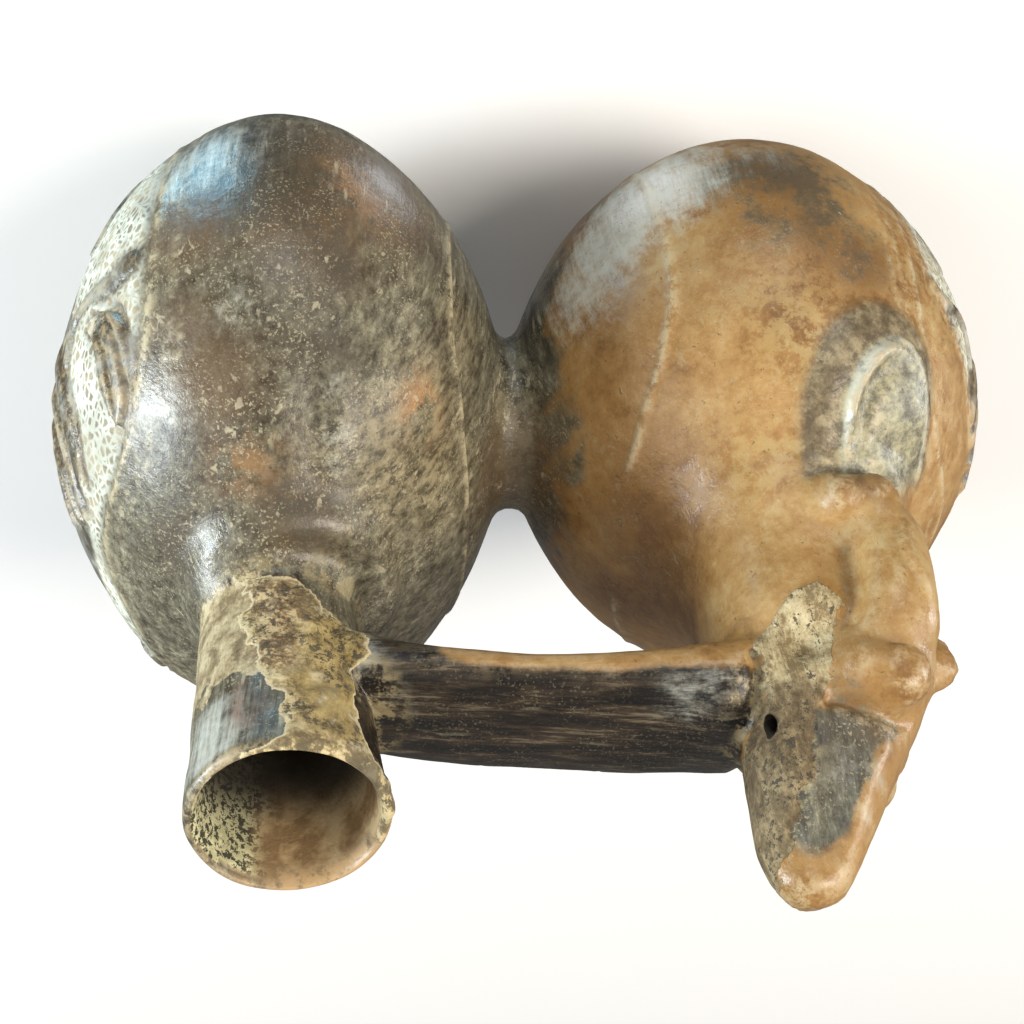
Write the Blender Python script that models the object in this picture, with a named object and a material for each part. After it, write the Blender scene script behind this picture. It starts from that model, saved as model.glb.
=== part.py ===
# Double chamber effigy vessel: two flattened round chambers joined at the waist,
# a tall spout, a strap handle and a seated figure in a peaked cap.
# Metres, +Z up. +X runs from the figure's chamber to the spout's chamber.
import math

import bmesh
import bpy
from mathutils import Matrix, Vector

# Chambers: half sizes along X, Y and Z
SPOUT_CHAMBER_HALF_X = 0.0467
SPOUT_CHAMBER_HALF_Y = 0.0636
SPOUT_CHAMBER_HALF_Z = 0.0621
FIGURE_CHAMBER_HALF_X = 0.0507
FIGURE_CHAMBER_HALF_Y = 0.0592
FIGURE_CHAMBER_HALF_Z = 0.0578
MEETING_X = 0.0040
CHAMBER_ROUNDNESS = 1.88
STANDING_CUT = 0.03
WALL = 0.005

# Waist between the chambers
WAIST_RADIUS = 0.0182
WAIST_BORE_RADIUS = 0.0120

# Spout, measured from the top of its chamber
SPOUT_HEIGHT = 0.0470
SPOUT_FOOT_RADIUS = 0.0137
SPOUT_MOUTH_RADIUS = 0.0163
SPOUT_LIP = 0.0026
SPOUT_OFFSET = 0.0017
SPOUT_LEAN_DEG = 5.5
MOUTH_NOD_DEG = 5.5
MOUTH_LEVEL_DEG = 3.0
COLLAR_HALF_X = 0.0160
COLLAR_HALF_Y = 0.0196
COLLAR_OFFSET = 0.0042
COLLAR_THICKNESS = 0.0036

# Strap handle
STRAP_WIDTH = 0.0255
STRAP_THICKNESS = 0.0092
STRAP_FIGURE_RISE = 0.0330
STRAP_SPOUT_RISE = 0.0185
STRAP_ARCH = 0.0026

# Figure, measured from the top of its chamber
CAP_HEIGHT = 0.0732
CAP_TIP_RADIUS = 0.0052
CAP_HALF_LENGTH = 0.0185
CAP_HALF_WIDTH = 0.0138
HEAD_RADIUS = 0.0135
HEAD_RISE = 0.0290
TORSO_HALF_LENGTH = 0.0195
TORSO_HALF_WIDTH = 0.0232
ARM_RADIUS = 0.0070
HAND_RADIUS = 0.0072
LEG_RELIEF = 0.0026
WHISTLE_RADIUS = 0.0022

# Moulded side panels
PANEL_RELIEF = 0.0014
BORDER_WIDTH = 0.0030

# Mesh fineness
SURFACE_STEP = 0.0016
OUTSIDE_TRIANGLES = 6650

SPOUT_X = MEETING_X + SPOUT_CHAMBER_HALF_X
FIGURE_X = MEETING_X - FIGURE_CHAMBER_HALF_X
SPOUT_Z = SPOUT_CHAMBER_HALF_Z * (1 - STANDING_CUT)
FIGURE_Z = FIGURE_CHAMBER_HALF_Z * (1 - STANDING_CUT)
SPOUT_TOP = SPOUT_Z + SPOUT_CHAMBER_HALF_Z
FIGURE_TOP = FIGURE_Z + FIGURE_CHAMBER_HALF_Z
WAIST_Z = (SPOUT_Z + FIGURE_Z) / 2 + 0.0030


def clear_scene():
    for thing in list(bpy.data.objects):
        bpy.data.objects.remove(thing, do_unlink=True)


def signed_power(value, power):
    return math.copysign(abs(value) ** power, value)


def add_chamber(bm, centre, half, steps):
    """A round body flattened along X, fuller than an ellipsoid or sharper by CHAMBER_ROUNDNESS."""
    made = bmesh.ops.create_uvsphere(bm, u_segments=steps, v_segments=steps // 2, radius=1.0)
    for vert in made["verts"]:
        along, side, up = vert.co.z, vert.co.x, vert.co.y
        ring = math.hypot(side, up)
        spread = ring ** (2 / CHAMBER_ROUNDNESS - 1) if ring > 1e-9 else 0.0
        x = half[0] * signed_power(along, 2 / CHAMBER_ROUNDNESS)
        vert.co = Vector((centre[0] + x, centre[1] + half[1] * side * spread, centre[2] + half[2] * up * spread))


def add_ball(bm, centre, half, turn=None, steps=20):
    turn = turn or Matrix.Identity(4)
    place = Matrix.Translation(centre) @ turn @ Matrix.Diagonal((half[0], half[1], half[2], 1.0))
    bmesh.ops.create_uvsphere(bm, u_segments=steps, v_segments=steps // 2, radius=1.0, matrix=place)


def add_loft(bm, rings):
    """A closed skin over rings of points, with a fan at each end."""
    loops = []
    for ring in rings:
        loops.append([bm.verts.new(point) for point in ring])
    count = len(loops[0])
    for lower, upper in zip(loops, loops[1:]):
        for i in range(count):
            j = (i + 1) % count
            bm.faces.new((lower[i], lower[j], upper[j], upper[i]))
    for loop, first in ((loops[0], True), (loops[-1], False)):
        middle = bm.verts.new(sum((vert.co for vert in loop), Vector()) / count)
        for i in range(count):
            j = (i + 1) % count
            pair = (loop[j], loop[i]) if first else (loop[i], loop[j])
            bm.faces.new((pair[0], pair[1], middle))


def add_closed_loft(bm, rings):
    """A closed band over rings of points, the last joined to the first."""
    loops = []
    for ring in rings:
        loops.append([bm.verts.new(point) for point in ring])
    count = len(loops[0])
    for lower, upper in zip(loops, loops[1:] + loops[:1]):
        for i in range(count):
            j = (i + 1) % count
            bm.faces.new((lower[i], lower[j], upper[j], upper[i]))


def oval_ring(centre, side, up, half_side, half_up, power=2.0, count=28):
    ring = []
    for i in range(count):
        angle = 2 * math.pi * i / count
        a = signed_power(math.cos(angle), 2 / power)
        b = signed_power(math.sin(angle), 2 / power)
        ring.append(centre + side * (half_side * a) + up * (half_up * b))
    return ring


def add_lathe(bm, base, axis, profile, count=40):
    """A turned body: profile holds (distance along the axis, radius) pairs."""
    axis = axis.normalized()
    side = Vector((0, 1, 0)).cross(axis).normalized()
    other = axis.cross(side)
    rings = [oval_ring(base + axis * d, side, other, r, r, count=count) for d, r in profile]
    add_loft(bm, rings)


def new_object(name, bm, smooth=True):
    bmesh.ops.recalc_face_normals(bm, faces=bm.faces)
    mesh = bpy.data.meshes.new(name)
    bm.to_mesh(mesh)
    bm.free()
    if smooth:
        mesh.shade_smooth()
    thing = bpy.data.objects.new(name, mesh)
    bpy.context.scene.collection.objects.link(thing)
    return thing


def fix_modifiers(thing):
    """Replace the object's mesh by what its modifiers make of it."""
    graph = bpy.context.evaluated_depsgraph_get()
    made = bpy.data.meshes.new_from_object(thing.evaluated_get(graph))
    thing.modifiers.clear()
    thing.data = made


# Spout placement
LEAN = math.radians(SPOUT_LEAN_DEG)
SPOUT_AXIS = Vector((-math.sin(LEAN), 0, math.cos(LEAN)))
SPOUT_FOOT = Vector((SPOUT_X - SPOUT_OFFSET, 0, SPOUT_TOP - 0.002))
SPOUT_LENGTH = (SPOUT_HEIGHT + 0.002) / math.cos(LEAN)


def spout_radius(share):
    """Outer radius of the spout from its foot (0) to its mouth (1)."""
    return SPOUT_FOOT_RADIUS + (SPOUT_MOUTH_RADIUS - SPOUT_FOOT_RADIUS) * max(share, 0.0) ** 1.4


def add_spout_tube(bm, profile, count):
    """A leaning tube whose mouth nods to the front and is nearly level: (height, radius) pairs."""
    rings = []
    for height, radius in profile:
        bend = smooth_step(0.45, 1.0, height / SPOUT_LENGTH)
        level = Matrix.Rotation(math.radians(MOUTH_LEVEL_DEG) * bend, 3, "Y")
        nod = Matrix.Rotation(math.radians(MOUTH_NOD_DEG) * bend, 3, "X")
        axis = nod @ level @ SPOUT_AXIS
        side = Vector((0, 1, 0)).cross(axis).normalized()
        centre = SPOUT_FOOT + SPOUT_AXIS * height
        rings.append(oval_ring(centre, side, axis.cross(side), radius, radius, count=count))
    add_loft(bm, rings)


def spout_profile(top, less=0.0):
    """Heights and radii of the spout's outside from below its foot up to a share of its length."""
    profile = [(-0.010, SPOUT_FOOT_RADIUS - less)]
    for i in range(11):
        share = top * i / 10
        profile.append((share * SPOUT_LENGTH, spout_radius(share) - less))
    return profile


def add_spout_root(bm):
    """The lowest part of the spout and the soft collar round it."""
    root = []
    for height, radius in spout_profile(0.42, 0.0012):
        root.append((height, radius + 0.0034 * math.exp(-((max(height, 0.0) / 0.0055) ** 2))))
    add_spout_tube(bm, root, 40)
    rings = []
    for i in range(40):
        angle = 2 * math.pi * i / 40
        x = SPOUT_X - COLLAR_OFFSET + COLLAR_HALF_X * math.cos(angle)
        y = COLLAR_HALF_Y * math.sin(angle)
        across = abs((x - SPOUT_X) / SPOUT_CHAMBER_HALF_X) ** CHAMBER_ROUNDNESS
        level = (1 - across) ** (2 / CHAMBER_ROUNDNESS) - (y / SPOUT_CHAMBER_HALF_Y) ** 2
        z = SPOUT_Z + SPOUT_CHAMBER_HALF_Z * math.sqrt(level) + 0.0004
        out = Vector((math.cos(angle) / COLLAR_HALF_X, math.sin(angle) / COLLAR_HALF_Y, 0)).normalized()
        centre = Vector((x, y, z))
        rings.append(oval_ring(centre, out, Vector((0, 0, 1)), COLLAR_THICKNESS, COLLAR_THICKNESS, count=16))
    add_closed_loft(bm, rings)


def add_waist(bm):
    """The joining neck, opening like a horn into each chamber."""
    reach = 0.016
    profile = []
    for i in range(17):
        share = -1 + i / 8
        profile.append((reach * (share + 1), WAIST_RADIUS + 0.0085 * abs(share) ** 2.6))
    add_lathe(bm, Vector((MEETING_X - reach, 0, WAIST_Z)), Vector((1, 0, 0)), profile)


def strap_path(share):
    """Centre line of the strap from inside the figure (0) to inside the spout (1)."""
    start = Vector((FIGURE_X + CAP_HALF_LENGTH * 0.55, 0, FIGURE_TOP + STRAP_FIGURE_RISE))
    end_share = (STRAP_SPOUT_RISE + 0.002) / SPOUT_LENGTH
    end = SPOUT_FOOT + SPOUT_AXIS * (SPOUT_LENGTH * end_share)
    point = start.lerp(end, share)
    point.z += STRAP_ARCH * 4 * share * (1 - share)
    return point


def add_strap(bm):
    rings = []
    for i in range(25):
        share = i / 24
        figure_flare = math.exp(-((share / 0.26) ** 2))
        spout_flare = math.exp(-(((1 - share) / 0.22) ** 2))
        wide = STRAP_WIDTH / 2 * (1 + 0.12 * figure_flare - 0.12 * spout_flare)
        thick = STRAP_THICKNESS / 2 * (1 + 0.60 * figure_flare + 0.9 * spout_flare)
        centre = strap_path(share)
        centre.z -= STRAP_THICKNESS * (0.12 * figure_flare + 0.30 * spout_flare)
        rings.append(oval_ring(centre, Vector((0, 1, 0)), Vector((0, 0, 1)), wide, thick, power=2.6))
    add_loft(bm, rings)


def figure_point(x, y, z):
    """A point of the figure: x forward, y to the viewer's side, z above the chamber."""
    return Vector((FIGURE_X - x, -y, FIGURE_TOP + z))


def add_cap(bm):
    """A tall rounded pyramid: its front slopes back to the tip and its back stands upright."""
    hull = bmesh.new()
    low = HEAD_RISE + 0.0050
    edge = CAP_HALF_WIDTH * 0.32
    tip = CAP_HEIGHT - CAP_TIP_RADIUS
    spots = [(-CAP_HALF_LENGTH * 0.68, 0, tip, CAP_TIP_RADIUS)]
    spots.append((-CAP_HALF_LENGTH * 0.56, 0, tip - 0.0008, CAP_TIP_RADIUS))
    for side in (-1, 1):
        wide = side * (CAP_HALF_WIDTH - edge)
        spots.append((CAP_HALF_LENGTH - edge, wide * 0.58, low - 0.0035, edge))
        spots.append((CAP_HALF_LENGTH * 0.46, wide, low, edge))
        spots.append((-CAP_HALF_LENGTH * 0.50, wide, low + 0.0030, edge))
        spots.append((-CAP_HALF_LENGTH + edge, wide * 0.50, low, edge))
        spots.append((-CAP_HALF_LENGTH + edge + 0.0010, wide * 0.30, low + 0.0180, edge))
    for x, y, z, radius in spots:
        add_ball(hull, figure_point(x, y, z), (radius,) * 3, steps=14)
    made = bmesh.ops.convex_hull(hull, input=hull.verts, use_existing_faces=False)
    loose = [item for item in made["geom_interior"] if isinstance(item, bmesh.types.BMVert)]
    bmesh.ops.delete(hull, geom=loose, context="VERTS")
    keep = bpy.data.meshes.new("cap_hull")
    hull.to_mesh(keep)
    hull.free()
    bm.from_mesh(keep)
    bpy.data.meshes.remove(keep)


def add_head(bm):
    """A bowed head: a rounded skull, a nose, a chin, and an ear with the lock behind it."""
    bow = Matrix.Rotation(math.radians(-22), 4, "Y")
    slope = Matrix.Rotation(math.radians(20), 4, "Y")
    radius = HEAD_RADIUS
    skull = figure_point(0.0050, 0, HEAD_RISE - 0.0010)
    add_ball(bm, skull, (radius, radius * 0.95, radius * 1.08), slope, steps=28)
    face = figure_point(0.0098, 0, HEAD_RISE - 0.0058)
    add_ball(bm, face, (radius * 0.74, radius * 0.86, radius * 0.88), steps=28)
    add_ball(bm, figure_point(0.0205, 0, HEAD_RISE - 0.0070), (0.0062, 0.0040, 0.0064), bow)
    add_ball(bm, figure_point(0.0152, 0, HEAD_RISE - 0.0138), (0.0046, 0.0056, 0.0040), bow)
    for side in (-1, 1):
        ear = figure_point(0.0072, side * radius * 0.97, HEAD_RISE + 0.0085)
        add_ball(bm, ear, (0.0044, 0.0036, 0.0054), bow)
        lock = figure_point(0.0020, side * radius * 0.93, HEAD_RISE + 0.0050)
        add_ball(bm, lock, (0.0050, 0.0034, 0.0074), bow)
        cheek = figure_point(0.0108, side * radius * 0.80, HEAD_RISE + 0.0010)
        add_ball(bm, cheek, (0.0056, 0.0044, 0.0080), bow)


def add_torso(bm):
    along = Vector((1, 0, 0))
    across = Vector((0, 1, 0))
    shape = (
        (-0.0160, 0.0007, 1.30, 1.34),
        (-0.0066, 0.0007, 1.21, 1.20),
        (-0.0030, 0.0007, 1.12, 1.09),
        (0.0020, 0.0007, 1.04, 1.00),
        (0.0090, -0.0003, 0.95, 0.90),
        (0.0180, -0.0018, 0.86, 0.84),
        (0.0245, -0.0024, 0.80, 0.80),
        (0.0290, -0.0024, 0.74, 0.62),
        (0.0320, -0.0020, 0.64, 0.46),
    )
    rings = []
    for height, forward, long, wide in shape:
        centre = figure_point(forward, 0, height)
        rings.append(
            oval_ring(centre, along, across, TORSO_HALF_LENGTH * long, TORSO_HALF_WIDTH * wide, power=2.5)
        )
    add_loft(bm, rings)


def add_limb(bm, stations, count=20):
    """A limb through (point, half width along X, half width along Y) stations."""
    rings = []
    for point, half_x, half_y in stations:
        rings.append(oval_ring(point, Vector((1, 0, 0)), Vector((0, 1, 0)), half_x, half_y, count=count))
    add_loft(bm, rings)


def add_arms(bm):
    for side in (-1, 1):
        top = TORSO_HALF_WIDTH * 0.64
        stations = []
        for height, forward, out, half_x, half_y in (
            (0.0336, 0.0098, -0.04, 0.60, 0.56),
            (0.0304, 0.0104, 0.02, 1.00, 0.88),
            (0.0250, 0.0108, 0.08, 1.06, 1.00),
            (0.0170, 0.0124, 0.13, 0.98, 0.98),
            (0.0110, 0.0132, 0.18, 0.90, 0.94),
            (0.0078, 0.0120, 0.23, 0.78, 0.82),
            (0.0050, 0.0108, 0.26, 0.60, 0.60),
        ):
            point = figure_point(forward, side * (top + out * TORSO_HALF_WIDTH), height)
            stations.append((point, ARM_RADIUS * half_x, ARM_RADIUS * half_y))
        add_limb(bm, stations)
        fist = figure_point(0.0106, side * TORSO_HALF_WIDTH, 0.0040)
        roll = Matrix.Rotation(math.radians(side * 38), 4, "X")
        add_ball(bm, fist, (HAND_RADIUS * 0.76, HAND_RADIUS * 0.74, HAND_RADIUS * 0.70), roll)
        thumb = figure_point(0.0050, side * TORSO_HALF_WIDTH * 1.01, 0.0030)
        add_ball(bm, thumb, (HAND_RADIUS * 0.58, HAND_RADIUS * 0.60, HAND_RADIUS * 0.62), roll)


def remeshed(thing, step, rounds):
    grid = thing.modifiers.new("grid", "REMESH")
    grid.mode = "VOXEL"
    grid.voxel_size = step
    grid.adaptivity = 0.0
    soft = thing.modifiers.new("soft", "SMOOTH")
    soft.factor = 0.5
    soft.iterations = rounds
    fix_modifiers(thing)


def panel_outline(angle):
    """Radius of the moulded panel's border, as a share of the chamber's half size, by angle from up."""
    return 0.885 - 0.17 * math.exp(-((angle / 0.50) ** 2)) - 0.03 * math.exp(-(((abs(angle) - math.pi) / 0.5) ** 2))


def smooth_step(edge_low, edge_high, value):
    share = min(max((value - edge_low) / (edge_high - edge_low), 0.0), 1.0)
    return share * share * (3 - 2 * share)


def panel_height(share, angle):
    """Relief of a moulded panel at a share of the chamber's half size and an angle from up."""
    border = panel_outline(angle)
    half_width = BORDER_WIDTH / 2 / SPOUT_CHAMBER_HALF_Z
    ridge = math.exp(-(((share - border) / half_width) ** 2))
    ground = -0.35 * (1 - smooth_step(border - 2.2 * half_width, border - 0.6 * half_width, share))
    return ridge * 0.30 + ground


def blade(side, up, start, end, half_width):
    """How far inside a pointed blade a panel place lies: 1 on its spine, 0 at its edge and outside."""
    run_x, run_y = end[0] - start[0], end[1] - start[1]
    length = math.hypot(run_x, run_y)
    along = ((side - start[0]) * run_x + (up - start[1]) * run_y) / length
    across = ((up - start[1]) * run_x - (side - start[0]) * run_y) / length
    return max(1 - math.hypot((along / length - 0.5) / 0.5, across / half_width), 0.0)


def bird_height(side, up):
    """The raised bird of a panel: side and up are shares of the chamber's half size."""
    turned = abs(math.atan2(side, up))
    reach = 0.64 - 0.13 * smooth_step(0.40, 1.10, turned) - 0.10 * smooth_step(2.0, 2.8, turned)
    height = smooth_step(0.0, 0.05, reach - math.hypot(side, up))
    for start, end, half_width in (
        ((0.43, 0.72), (0.65, 0.33), 0.066),
        ((0.44, 0.16), (0.83, 0.29), 0.060),
        ((0.77, 0.26), (0.81, -0.02), 0.045),
        ((0.60, -0.08), (0.66, -0.42), 0.066),
        ((-0.43, 0.72), (-0.65, 0.33), 0.066),
        ((-0.52, 0.10), (-0.84, 0.14), 0.060),
        ((-0.60, -0.08), (-0.66, -0.42), 0.066),
        ((0.20, -0.42), (0.34, -0.80), 0.070),
        ((-0.20, -0.42), (-0.34, -0.80), 0.070),
        ((0.0, -0.44), (0.0, -0.84), 0.070),
    ):
        height = max(height, 0.85 * smooth_step(0.0, 0.6, blade(side, up, start, end, half_width)))
    return height


def leg_height(point):
    """The bent leg lying in low relief below the hand, on both sides alike."""
    forward = (FIGURE_X - point.x) / FIGURE_CHAMBER_HALF_X
    side = abs(point.y) / FIGURE_CHAMBER_HALF_Y
    up = (point.z - FIGURE_Z) / FIGURE_CHAMBER_HALF_Z
    if side < 0.2 or up < 0.2:
        return 0.0
    reach = math.atan2(side, up)
    pad = 1 - math.hypot((forward - 0.255) / 0.300, max(reach - 0.62, 0.0) / 0.375)
    shin = 1 - math.hypot((forward - 0.320) / 0.168, max(reach - 0.55, 0.0) / 0.290)
    height = smooth_step(0.0, 0.13, pad) + 0.7 * smooth_step(0.0, 0.40, shin)
    return height * smooth_step(0.26, 0.40, reach)


def panel_place(point, centre_z, half_y, half_z):
    side = point.y / half_y
    up = (point.z - centre_z) / half_z
    return side, up, math.hypot(side, up), math.atan2(side, up)


def carve(thing):
    """Raise the panels, their borders and the legs on the finished outside."""
    mesh = thing.data
    moved = []
    for vert in mesh.vertices:
        point = vert.co
        lift = 0.0
        out = point.x - SPOUT_X
        if out > 0.30 * SPOUT_CHAMBER_HALF_X and point.z < SPOUT_TOP - 0.004:
            side, up, share, angle = panel_place(point, SPOUT_Z, SPOUT_CHAMBER_HALF_Y, SPOUT_CHAMBER_HALF_Z)
            lift = PANEL_RELIEF * (panel_height(share, angle) + 0.8 * bird_height(-side, up))
        out = FIGURE_X - point.x
        if out > 0.38 * FIGURE_CHAMBER_HALF_X and point.z < FIGURE_TOP - 0.010:
            side, up, share, angle = panel_place(point, FIGURE_Z, FIGURE_CHAMBER_HALF_Y, FIGURE_CHAMBER_HALF_Z)
            lift = PANEL_RELIEF * panel_height(share + 0.04, angle)
            lift += PANEL_RELIEF * 0.8 * bird_height(side * 1.05, up * 1.05)
        if point.x < FIGURE_X + 0.5 * FIGURE_CHAMBER_HALF_X and point.z < FIGURE_TOP:
            lift += LEG_RELIEF * leg_height(point)
        moved.append(point + vert.normal * lift if lift else point.copy())
    for vert, point in zip(mesh.vertices, moved):
        vert.co = point


def cut_level(thing):
    """Flatten both undersides to one plane at height zero."""
    bm = bmesh.new()
    bm.from_mesh(thing.data)
    geometry = bm.verts[:] + bm.edges[:] + bm.faces[:]
    bmesh.ops.bisect_plane(
        bm, geom=geometry, dist=1e-7, plane_co=(0, 0, 0), plane_no=(0, 0, 1), clear_inner=True
    )
    rim = [edge for edge in bm.edges if edge.is_boundary]
    bmesh.ops.holes_fill(bm, edges=rim, sides=0)
    bmesh.ops.triangulate(bm, faces=[face for face in bm.faces if len(face.verts) > 4])
    bmesh.ops.recalc_face_normals(bm, faces=bm.faces)
    bm.to_mesh(thing.data)
    bm.free()


def combine(thing, other, operation):
    """Join a helper to the object or cut it away, and remove the helper."""
    other.hide_render = True
    other.display_type = "WIRE"
    step = thing.modifiers.new(other.name, "BOOLEAN")
    step.operation = operation
    step.solver = "EXACT"
    step.object = other
    fix_modifiers(thing)
    bpy.data.objects.remove(other, do_unlink=True)


def outside():
    """The whole outer form as one skin, before the hollow is taken out."""
    bm = bmesh.new()
    add_chamber(
        bm,
        (SPOUT_X, 0, SPOUT_Z),
        (SPOUT_CHAMBER_HALF_X, SPOUT_CHAMBER_HALF_Y, SPOUT_CHAMBER_HALF_Z),
        96,
    )
    add_chamber(
        bm,
        (FIGURE_X, 0, FIGURE_Z),
        (FIGURE_CHAMBER_HALF_X, FIGURE_CHAMBER_HALF_Y, FIGURE_CHAMBER_HALF_Z),
        96,
    )
    add_waist(bm)
    add_spout_root(bm)
    add_strap(bm)
    add_torso(bm)
    add_head(bm)
    add_cap(bm)
    add_arms(bm)
    thing = new_object("double_vessel", bm)
    remeshed(thing, SURFACE_STEP, 6)
    carve(thing)
    thinner = thing.modifiers.new("thinner", "DECIMATE")
    faces = sum(len(face.vertices) - 2 for face in thing.data.polygons)
    thinner.ratio = min(1.0, OUTSIDE_TRIANGLES / faces)
    fix_modifiers(thing)
    cut_level(thing)
    bm = bmesh.new()
    profile = spout_profile(1.0)[2:-1]
    profile.append((SPOUT_LENGTH - 0.0016, SPOUT_MOUTH_RADIUS))
    profile.append((SPOUT_LENGTH - 0.0005, SPOUT_MOUTH_RADIUS - 0.0003))
    profile.append((SPOUT_LENGTH, SPOUT_MOUTH_RADIUS - 0.0010))
    add_spout_tube(bm, profile, 40)
    combine(thing, new_object("spout_tube", bm), "UNION")
    return thing


def hollow(thing):
    """Take out the chambers, the neck between them, the spout's bore and the figure, as one cavity."""
    bm = bmesh.new()
    add_chamber(
        bm,
        (SPOUT_X, 0, SPOUT_Z),
        (SPOUT_CHAMBER_HALF_X - WALL, SPOUT_CHAMBER_HALF_Y - WALL, SPOUT_CHAMBER_HALF_Z - WALL),
        28,
    )
    cavity = new_object("cavity", bm)
    bm = bmesh.new()
    add_chamber(
        bm,
        (FIGURE_X, 0, FIGURE_Z),
        (FIGURE_CHAMBER_HALF_X - WALL, FIGURE_CHAMBER_HALF_Y - WALL, FIGURE_CHAMBER_HALF_Z - WALL),
        28,
    )
    figure_cavity = new_object("figure_cavity", bm)
    bm = bmesh.new()
    reach = SPOUT_CHAMBER_HALF_X * 0.35 + WALL
    profile = [(0, WAIST_BORE_RADIUS), (2 * reach, WAIST_BORE_RADIUS)]
    add_lathe(bm, Vector((MEETING_X - reach, 0, WAIST_Z)), Vector((1, 0, 0)), profile, count=20)
    combine(cavity, new_object("waist_bore", bm), "UNION")
    combine(cavity, figure_cavity, "UNION")
    bm = bmesh.new()
    bore = SPOUT_MOUTH_RADIUS - SPOUT_LIP
    profile = [
        (-0.016, SPOUT_FOOT_RADIUS - WALL + 0.0010),
        (0.0, SPOUT_FOOT_RADIUS - WALL + 0.0012),
        (SPOUT_LENGTH * 0.6, bore - 0.0015),
        (SPOUT_LENGTH - 0.0080, bore - 0.0003),
        (SPOUT_LENGTH - 0.0010, bore + 0.0002),
        (SPOUT_LENGTH, bore + 0.0009),
        (SPOUT_LENGTH + 0.004, bore + 0.0040),
    ]
    add_spout_tube(bm, profile, 32)
    combine(cavity, new_object("spout_bore", bm), "UNION")
    bm = bmesh.new()
    along = Vector((1, 0, 0))
    across = Vector((0, 1, 0))
    rings = []
    for height, long, wide in (
        (-0.0140, 0.70, 0.70),
        (0.0, 0.70, 0.68),
        (0.0120, 0.64, 0.56),
        (0.0240, 0.56, 0.42),
        (0.0320, 0.44, 0.32),
        (0.0370, 0.22, 0.16),
    ):
        centre = figure_point(0.0005, 0, height)
        rings.append(
            oval_ring(centre, along, across, TORSO_HALF_LENGTH * long, TORSO_HALF_WIDTH * wide, count=16)
        )
    add_loft(bm, rings)
    combine(cavity, new_object("body_hollow", bm), "UNION")
    bm = bmesh.new()
    start = figure_point(0.0, 0, HEAD_RISE)
    end = figure_point(-CAP_HALF_LENGTH - 0.002, CAP_HALF_WIDTH * 0.55, HEAD_RISE + 0.0150)
    length = (end - start).length
    add_lathe(bm, start, end - start, [(0, WHISTLE_RADIUS), (length, WHISTLE_RADIUS)], count=10)
    combine(cavity, new_object("whistle_hole", bm), "UNION")
    combine(thing, cavity, "DIFFERENCE")


def clay_material():
    clay = bpy.data.materials.new("fired_clay")
    clay.use_nodes = True
    shader = clay.node_tree.nodes["Principled BSDF"]
    shader.inputs["Base Color"].default_value = (0.24, 0.15, 0.08, 1.0)
    shader.inputs["Roughness"].default_value = 0.42
    return clay


def main():
    clear_scene()
    vessel = outside()
    hollow(vessel)
    vessel.data.name = "double_vessel"
    vessel.data.materials.clear()
    vessel.data.materials.append(clay_material())
    vessel.data.shade_smooth()


main()
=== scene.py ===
# Double chamber effigy vessel: the fine form and the finish of its fired clay,
# the floor, the light and the camera. Metres, +Z up, -Y to the side seen in the photograph.
import math

import bmesh
import bpy
import numpy as np
from mathutils import Matrix, Vector


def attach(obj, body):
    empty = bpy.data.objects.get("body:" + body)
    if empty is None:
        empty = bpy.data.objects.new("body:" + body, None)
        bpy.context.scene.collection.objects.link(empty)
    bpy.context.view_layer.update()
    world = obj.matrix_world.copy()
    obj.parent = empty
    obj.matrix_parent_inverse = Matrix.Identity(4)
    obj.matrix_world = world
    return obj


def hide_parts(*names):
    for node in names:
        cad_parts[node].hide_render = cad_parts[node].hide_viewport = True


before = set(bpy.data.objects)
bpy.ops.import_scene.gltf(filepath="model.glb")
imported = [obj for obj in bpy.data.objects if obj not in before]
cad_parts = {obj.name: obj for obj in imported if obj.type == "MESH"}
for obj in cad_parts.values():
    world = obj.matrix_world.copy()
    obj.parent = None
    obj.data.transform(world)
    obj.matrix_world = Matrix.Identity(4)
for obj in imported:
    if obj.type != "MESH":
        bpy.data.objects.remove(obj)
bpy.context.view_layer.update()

# Chambers: half sizes along X, Y and Z
SPOUT_CHAMBER = Vector((0.0467, 0.0636, 0.0621))
FIGURE_CHAMBER = Vector((0.0507, 0.0592, 0.0578))
MEETING_X = 0.0040
CHAMBER_ROUNDNESS = 1.88
STANDING_CUT = 0.03
WALL = 0.005

# Waist between the chambers
WAIST_RADIUS = 0.0182
WAIST_BORE_RADIUS = 0.0120

# Spout
SPOUT_HEIGHT = 0.0470
SPOUT_FOOT_RADIUS = 0.0137
SPOUT_MOUTH_RADIUS = 0.0163
SPOUT_LIP = 0.0026
SPOUT_OFFSET = 0.0017
SPOUT_LEAN = math.radians(5.5)
MOUTH_NOD = math.radians(5.5)
MOUTH_LEVEL = math.radians(3.0)
COLLAR_HALF_X = 0.0160
COLLAR_HALF_Y = 0.0196
COLLAR_OFFSET = 0.0042
COLLAR_THICKNESS = 0.0036

# Strap handle
STRAP_WIDTH = 0.0255
STRAP_THICKNESS = 0.0092
STRAP_FIGURE_RISE = 0.0330
STRAP_SPOUT_RISE = 0.0185
STRAP_ARCH = 0.0026

# Figure, measured from the top of its chamber
CAP_HEIGHT = 0.0732
CAP_TIP_RADIUS = 0.0052
CAP_HALF_LENGTH = 0.0185
CAP_HALF_WIDTH = 0.0138
HEAD_RADIUS = 0.0135
HEAD_RISE = 0.0290
TORSO_HALF_LENGTH = 0.0195
TORSO_HALF_WIDTH = 0.0232
ARM_RADIUS = 0.0070
HAND_RADIUS = 0.0072
LEG_RELIEF = 0.0026
WHISTLE_RADIUS = 0.0017
HOLE_START = (0.0, 0.0, 0.0290)
HOLE_END = (-0.0185, 0.0122, 0.0500)

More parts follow.
